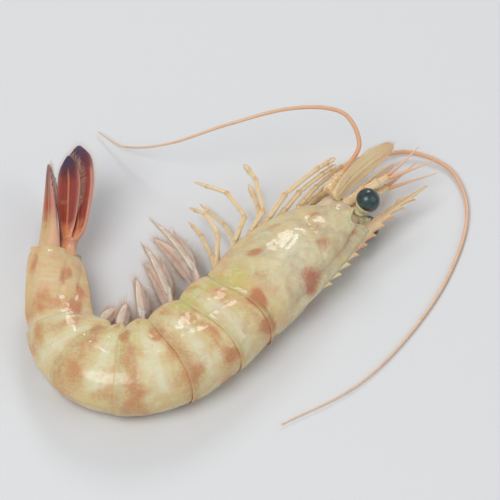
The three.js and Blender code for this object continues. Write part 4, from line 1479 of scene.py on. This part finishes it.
# Side and dorsal say where a blade's plain length starts, and bend is how far its end leans to the back.
# Spread and tilt, about its own length, are in degrees. Widths and thicknesses are half ones, as stations
# along it. Ribs, ridges, dome and tip are as leaf() takes them.
FAN_BLADES = {
    "telson": {
        "side": 0, "dorsal": 2.4, "spread": 0, "length": 27, "bend": 0.5, "tilt": 0,
        "widths": [(0, 3.9), (0.1, 4.1), (0.3, 3.7), (0.7, 2.1), (0.93, 0.9), (1, 0.3)],
        "thicknesses": [(0, 2.9), (0.12, 2.3), (0.3, 1.4), (1, 0.35)],
        "ribs": [
            (-0.42, 0.34, 0.34, 0.02, 0.97), (0.42, 0.34, 0.34, 0.02, 0.97), (-0.85, 0.3, 0.2, 0.1, 0.9),
            (0.85, 0.3, 0.2, 0.1, 0.9),
        ],
        "ridges": (5, 0.05), "dome": 0.0, "tip": 0.975,
    },
    "uropod_inner": {
        "side": 3, "dorsal": -1.9, "spread": 4.5, "length": 31, "bend": 1.2, "tilt": 26,
        "widths": [(0, 0.9), (0.08, 1.3), (0.25, 2.8), (0.62, 4.1), (0.88, 3.4), (1, 2.0)],
        "thicknesses": [(0, 1.1), (0.12, 0.7), (0.3, 0.42), (1, 0.2)],
        "ribs": [(0.0, 0.42, 0.42, 0.0, 0.94), (-0.3, 0.26, 0.18, 0.12, 0.9), (0.3, 0.26, 0.18, 0.12, 0.9)],
        "ridges": (13, 0.04), "dome": 0.05, "tip": 0.8,
    },
    "uropod_outer": {
        "side": 3.6, "dorsal": -4.9, "spread": 8, "length": 35, "bend": 2.4, "tilt": 34,
        "widths": [(0, 0.9), (0.08, 1.3), (0.25, 3.1), (0.62, 4.8), (0.88, 4.2), (1, 2.6)],
        "thicknesses": [(0, 1.2), (0.12, 0.8), (0.3, 0.46), (1, 0.2)],
        "ribs": [(-0.05, 0.45, 0.45, 0.0, 0.95), (0.28, 0.26, 0.2, 0.12, 0.9), (0.82, 0.42, 0.42, 0.0, 0.84)],
        "ridges": (13, 0.04), "dome": 0.06, "tip": 0.8,
    },
}


def blade_foot(blade, sign):
    """Where a blade's plain length starts, clear of the last somite's slanting rear edge."""
    tail = frames(BODY_LENGTH)[1]
    half_thickness = blade["thicknesses"][0][1]
    clear = REAR_LEAN * (blade["dorsal"] + half_thickness) + CLEAR
    return place(BODY_LENGTH, blade["dorsal"], sign * blade["side"]) + tail * clear


def fan_blade(sculpt, name, sign):
    """One blade of the tail fan. Its points and marks come back for the fringe."""
    blade, telson = FAN_BLADES[name], name == "telson"
    _, tail, back, flank = frames(BODY_LENGTH)
    foot = blade_foot(blade, sign)
    turn, lean = math.radians(blade["spread"]) * sign, math.radians(blade["tilt"]) * sign
    way = (tail * math.cos(turn) + flank * math.sin(turn)) * blade["length"]
    middle = [foot + way * t + back * blade["bend"] * t * t for t in (0.24, 0.4, 0.55, 0.7, 0.85, 1.0)]
    if telson:
        root = foot - tail * 2.5
    else:
        root = place(BODY_LENGTH, 0.5 * blade["dorsal"] - 1.4, sign * 3.1) + tail * 2.4
    points, marks = leaf(
        route([root, (root + middle[0]) / 2, *middle]), flank * math.cos(lean) - back * math.sin(lean),
        track(blade["widths"]), track(blade["thicknesses"]),
        [(where * (sign or 1), *rest) for where, *rest in blade["ribs"]], blade["ridges"], blade["dome"],
        blade["tip"], rows=110, half=40,
    )
    x, reach = marks["across"][..., None], marks["reach"][..., None]
    if telson:
        # the groove down its middle
        groove = back * 0.75 * bell(x, 0.24) * smooth(0.05, 0.2, reach)
        points = points - groove * (1 - smooth(0.8, 0.97, reach))
    curl = wobble(points, 9.0, 4 + sign)[..., None] * 0.35 * reach
    points = points + back * curl
    sculpt.add(points, **marks, faded=float(telson))
    return points, marks


def fan_foot(sculpt, sign):
    """The short joint between the last somite and a pair of the fan's side blades."""
    _, tail, back, flank = frames(BODY_LENGTH)
    root = place(BODY_LENGTH, -2.9, sign * 2.7)
    path = route([root - tail * 3.0, root + tail * 1.2 - back * 0.1, root + tail * 5.2 + flank * sign * 0.9])
    wide = track([(0, 1.9), (0.35, 2.35), (0.7, 2.5), (0.86, 2.25), (0.95, 1.6), (1, 0.7)])
    thick = track([(0, 2.1), (0.4, 2.5), (0.75, 2.3), (0.9, 1.8), (1, 0.6)])
    columns = 40
    points, marks = tube(path, flank, wide, thick, rows=44, columns=columns)
    angle = circle(columns)
    ridge = 0.35 * bell(np.sin(angle / 2 - 0.9), 0.12)[None] + 0.12 * np.cos(3 * angle)[None]
    outwards = unit(points - points.mean(1, keepdims=True))
    points = points + outwards * (ridge + 0.12 * wobble(points, 1.6, 9 + sign))[..., None]
    # the rim mark paints a highlight along the foot's two flank-facing sides
    sculpt.add(points, reach=0.02 + 0.16 * marks["reach"] ** 2, rim=0.5 * marks["edge"] ** 4)


def telson_spines(sculpt):
    """Three pairs of small spines near the telson's point."""
    telson = FAN_BLADES["telson"]
    _, tail, back, flank = frames(BODY_LENGTH)
    foot, width = blade_foot(telson, 0), track(telson["widths"])
    for t in (0.7, 0.79, 0.88):
        for out in (flank, -flank):
            root = foot + tail * telson["length"] * t + back * telson["bend"] * t * t
            root = root + out * (float(width(t)) - 0.3)
            path = route([root, root + tail * 0.9 + out * 0.28, root + tail * 1.9 + out * 0.3])
            points, _ = tube(path, flank, lambda s: 0.26 * (1 - 0.9 * s), rows=8, columns=8)
            # the rim mark gives the spines a little of the painted highlight
            sculpt.add(points, reach=0.9, rib=0.3, rim=0.4)


def leaf_fringe(points, marks, length, start=0.12, sides=(1, -1), forward=0.8):
    """Guide lines down a leaf's edges: each carries where its hairs aim and how long they are."""
    lines = []
    far = points.shape[1] // 2
    reach = marks["reach"][:, 0]
    live = reach >= start
    way = unit(np.gradient(points[:, 0] + points[:, far], axis=0))[live]
    lean = forward + 2.2 * smooth(0.75, 1.0, reach[live])
    grown = length * smooth(start - 0.02, start + 0.15, reach[live])
    for side in sides:
        edge, other = (points[live, column] for column in (0, far)[::side])
        aim = unit(unit(edge - other + 1e-6) + way * lean[:, None])
        lines.append((edge, {"aim": aim, "length": grown * MM}))
    return lines


# ---- operators ----

class PRAWN_OT_carapace(bpy.types.Operator):
    """Builds the carapace with its rostrum and the front of the head"""

    bl_idname = "prawn.carapace"
    bl_label = "Carapace"

    def execute(self, context):
        sculpt = Sculpt("carapace_shell")
        fringe = carapace_part(sculpt)
        head_block(sculpt)
        rostrum_part(sculpt)
        sculpt.finish(material_of(context, "shell"), "shell", "carapace")
        hair_piece(context, "carapace_fringe", fringe, "shell", spacing=1.5, root=0.03, seed=11)
        return {"FINISHED"}


class PRAWN_OT_somites(bpy.types.Operator):
    """Builds the six shell rings of the tail"""

    bl_idname = "prawn.somites"
    bl_label = "Somites"

    def execute(self, context):
        fringe = []
        for index in range(len(SOMITE_LENGTHS)):
            sculpt = Sculpt(f"somite_{index + 1}_shell")
            fringe += somite_part(sculpt, index)
            sculpt.finish(material_of(context, "shell"), "shell", f"somite_{index + 1}")
        hair_piece(context, "somite_fringe", fringe, "shell", spacing=1.5, root=0.03, seed=13)
        return {"FINISHED"}


class PRAWN_OT_tail_fan(bpy.types.Operator):
    """Builds the telson and the uropods, with the fringe of hairs round them"""

    bl_idname = "prawn.tail_fan"
    bl_label = "Tail fan"

    def execute(self, context):
        material = material_of(context, "fan")
        sculpt = Sculpt("telson_blade")
        fringe = leaf_fringe(*fan_blade(sculpt, "telson", 0), 0.9, start=0.3)
        telson_spines(sculpt)
        sculpt.finish(material, "tail_fan", "telson")
        for blade, start in (("uropod_inner", 0.3), ("uropod_outer", 0.4)):
            for hand, sign in HANDS:
                sculpt = Sculpt(f"{blade}_{hand}_blade")
                if blade == "uropod_outer":
                    fan_foot(sculpt, sign)
                fringe += leaf_fringe(*fan_blade(sculpt, blade, sign), 2.2, start=start)
                sculpt.finish(material, "tail_fan", f"{blade}_{hand}")
        hair_piece(context, "fan_fringe", fringe, "tail_fan", seed=3)
        return {"FINISHED"}


class PRAWN_OT_eyes(bpy.types.Operator):
    """Builds the two stalked eyes"""

    bl_idname = "prawn.eyes"
    bl_label = "Eyes"

    def execute(self, context):
        for hand, sign in HANDS:
            sculpt = Sculpt(f"eye_{hand}_globe")
            eye_part(sculpt, sign)
            sculpt.finish(material_of(context, "eye"), "eye", f"eye_{hand}")
        return {"FINISHED"}


class PRAWN_OT_feelers(bpy.types.Operator):
    """Builds the antennal scales, the antennules and the antennae"""

    bl_idname = "prawn.feelers"
    bl_label = "Feelers"

    def execute(self, context):
        material = material_of(context, "limb")
        fringe = []
        for hand, sign in HANDS:
            sculpt = Sculpt(f"antennal_scale_{hand}_blade")
            points, marks = antennal_scale_part(sculpt, sign)
            fringe += leaf_fringe(points, marks, 2.0, start=0.12, sides=(1,))
            fringe += leaf_fringe(points, marks, 1.4, start=0.84, sides=(-1,))
            sculpt.finish(material, "shell", f"antennal_scale_{hand}")
            for name, part, end, slot in (
                ("antennule", antennule_part, "whips", "limb"), ("antenna", antenna_part, "whip", "feeler"),
            ):
                node = f"{name}_{hand}"
                stem = Sculpt(f"{node}_stem")
                whips = part(stem, sign)
                stem.finish(material, slot, node)
                whip_piece(context, f"{node}_{end}", whips, slot, node)
        hair_piece(context, "antennal_scale_fringe", fringe, "shell", seed=5)
        return {"FINISHED"}


class PRAWN_OT_legs(bpy.types.Operator):
    """Builds the five pairs of walking legs and the maxillipeds, with their bristles"""

    bl_idname = "prawn.legs"
    bl_label = "Legs"

    def execute(self, context):
        material = material_of(context, "limb")
        bristles, beard = [], []
        for hand, sign in HANDS:
            sculpt = Sculpt(f"maxilliped_{hand}_limb")
            beard += limb_part(sculpt, MAXILLIPED, hand, sign, 0.9, False)
            sculpt.finish(material, "limb", f"maxilliped_{hand}")
            for i, leg in enumerate(LEGS):
                sculpt = Sculpt(f"leg_{hand}_{i + 1}_limb")
                bristles += limb_part(sculpt, leg, hand, sign, 1.0, i < CLAWED_LEGS)
                sculpt.finish(material, "limb", f"leg_{hand}_{i + 1}")
        lines = []
        for group, length in ((beard, 2.0), (bristles, 0.8)):
            for line, aim in group:
                aims = np.broadcast_to(unit(aim), line.shape)
                lines.append((line, {"aim": aims, "length": np.full(len(line), length * MM)}))
        hair_piece(context, "leg_bristles", lines, "limb", spacing=3.6, root=0.03, scatter=0.4, seed=9)
        return {"FINISHED"}


class PRAWN_OT_swimmerets(bpy.types.Operator):
    """Builds the five pairs of swimmerets and their fringes"""

    bl_idname = "prawn.swimmerets"
    bl_label = "Swimmerets"

    def execute(self, context):
        fringe = []
        for hand, sign in HANDS:
            for index in range(PLEATED_SOMITES):
                node = f"swimmeret_{hand}_{index + 1}"
                sculpt = Sculpt(f"{node}_paddles")
                for points, marks in swimmeret_part(sculpt, index, sign):
                    fringe += leaf_fringe(points, marks, 3.4, start=0.06, forward=1.3)
                sculpt.finish(material_of(context, "swimmeret"), "swimmeret", node)
        hair_piece(context, "swimmeret_fringe", fringe, "swimmeret", spacing=1.1, root=0.017, seed=7)
        return {"FINISHED"}


FLOOR_HALF = 3.0              # metres
# Each light's place off the prawn's middle in metres, its width, and its power over the key light's
LIGHTS = {
    "key": ((-0.45, -0.5, 1.0), 0.8, 1.0), "fill": ((0.9, -0.3, 0.7), 0.9, 0.25),
    "rear": ((0.1, 0.9, 0.7), 0.36, 0.35),
}
ROOM_COLOUR, ROOM_STRENGTH = (0.95, 0.97, 1.0, 1), 0.4
SENSOR_WIDTH = 36.0           # millimetres, as Blender's cameras have it


def aimed(scene, name, data, spot, target):
    """A light or camera at a spot, looking at the target."""
    thing = bpy.data.objects.new(name, data)
    thing.location = spot
    thing.rotation_euler = (target - spot).to_track_quat("-Z", "Y").to_euler()
    scene.collection.objects.link(thing)
    return thing


class PRAWN_OT_stage(bpy.types.Operator):
    """Builds the pale floor, the soft lights and the camera"""

    bl_idname = "prawn.stage"
    bl_label = "Stage"

    def execute(self, context):
        look, scene = look_of(context, "stage"), context.scene
        mesh = bpy.data.meshes.new("floor")
        corners = [(x * FLOOR_HALF, y * FLOOR_HALF, 0) for x, y in ((-1, -1), (1, -1), (1, 1), (-1, 1))]
        mesh.from_pydata(corners, [], [(0, 1, 2, 3)])
        mesh.materials.append(material_of(context, "stage"))
        floor = bpy.data.objects.new("floor", mesh)
        scene.collection.objects.link(floor)
        middle = (CAD_BOX[0] + CAD_BOX[1]) / 2
        for name, (offset, size, power) in LIGHTS.items():
            light = bpy.data.lights.new(name, "AREA")
            light.shape, light.size, light.energy = "DISK", size, look.key_power * power
            aimed(scene, name, light, middle + Vector(offset), middle)
        world = bpy.data.worlds.new("soft_room")
        world.use_nodes = True
        background = world.node_tree.nodes["Background"].inputs
        background["Color"].default_value = ROOM_COLOUR
        background["Strength"].default_value = ROOM_STRENGTH
        scene.world = world
        scene.view_settings.view_transform = "Standard"
        camera = bpy.data.cameras.new("camera")
        camera.sensor_width = SENSOR_WIDTH
        camera.lens = SENSOR_WIDTH * look.distance / look.view_width
        camera.clip_end = 20.0
        reach = Vector((0, -math.cos(look.elevation), math.sin(look.elevation)))
        scene.camera = aimed(scene, "camera", camera, middle + reach * look.distance, middle)
        return {"FINISHED"}


OPERATORS = (
    PRAWN_OT_carapace, PRAWN_OT_somites, PRAWN_OT_tail_fan, PRAWN_OT_eyes, PRAWN_OT_feelers, PRAWN_OT_legs,
    PRAWN_OT_swimmerets, PRAWN_OT_stage,
)


class PRAWN_PT_builder(bpy.types.Panel):
    """Lists the prawn's sizes and colours, and builds its pieces"""

    bl_label = "Raw Caramote Prawn"
    bl_idname = "PRAWN_PT_builder"
    bl_space_type = "VIEW_3D"
    bl_region_type = "UI"
    bl_category = "Prawn"

    def draw(self, context):
        for operator in OPERATORS:
            self.layout.operator(operator.bl_idname)
        for name, group in LOOKS.items():
            box = self.layout.box()
            box.label(text=name.capitalize())
            for field in group.__annotations__:
                box.prop(look_of(context, name), field)


CLASSES = (*LOOKS.values(), *OPERATORS, PRAWN_PT_builder)


def register():
    for cls in CLASSES:
        bpy.utils.register_class(cls)
    for name, group in LOOKS.items():
        setattr(bpy.types.Scene, "prawn_" + name, bpy.props.PointerProperty(type=group))


def unregister():
    for name in LOOKS:
        delattr(bpy.types.Scene, "prawn_" + name)
    for cls in reversed(CLASSES):
        bpy.utils.unregister_class(cls)


def main():
    register()
    for operator in OPERATORS:
        group, name = operator.bl_idname.split(".")
        getattr(getattr(bpy.ops, group), name)()


if __name__ == "__main__":
    main()
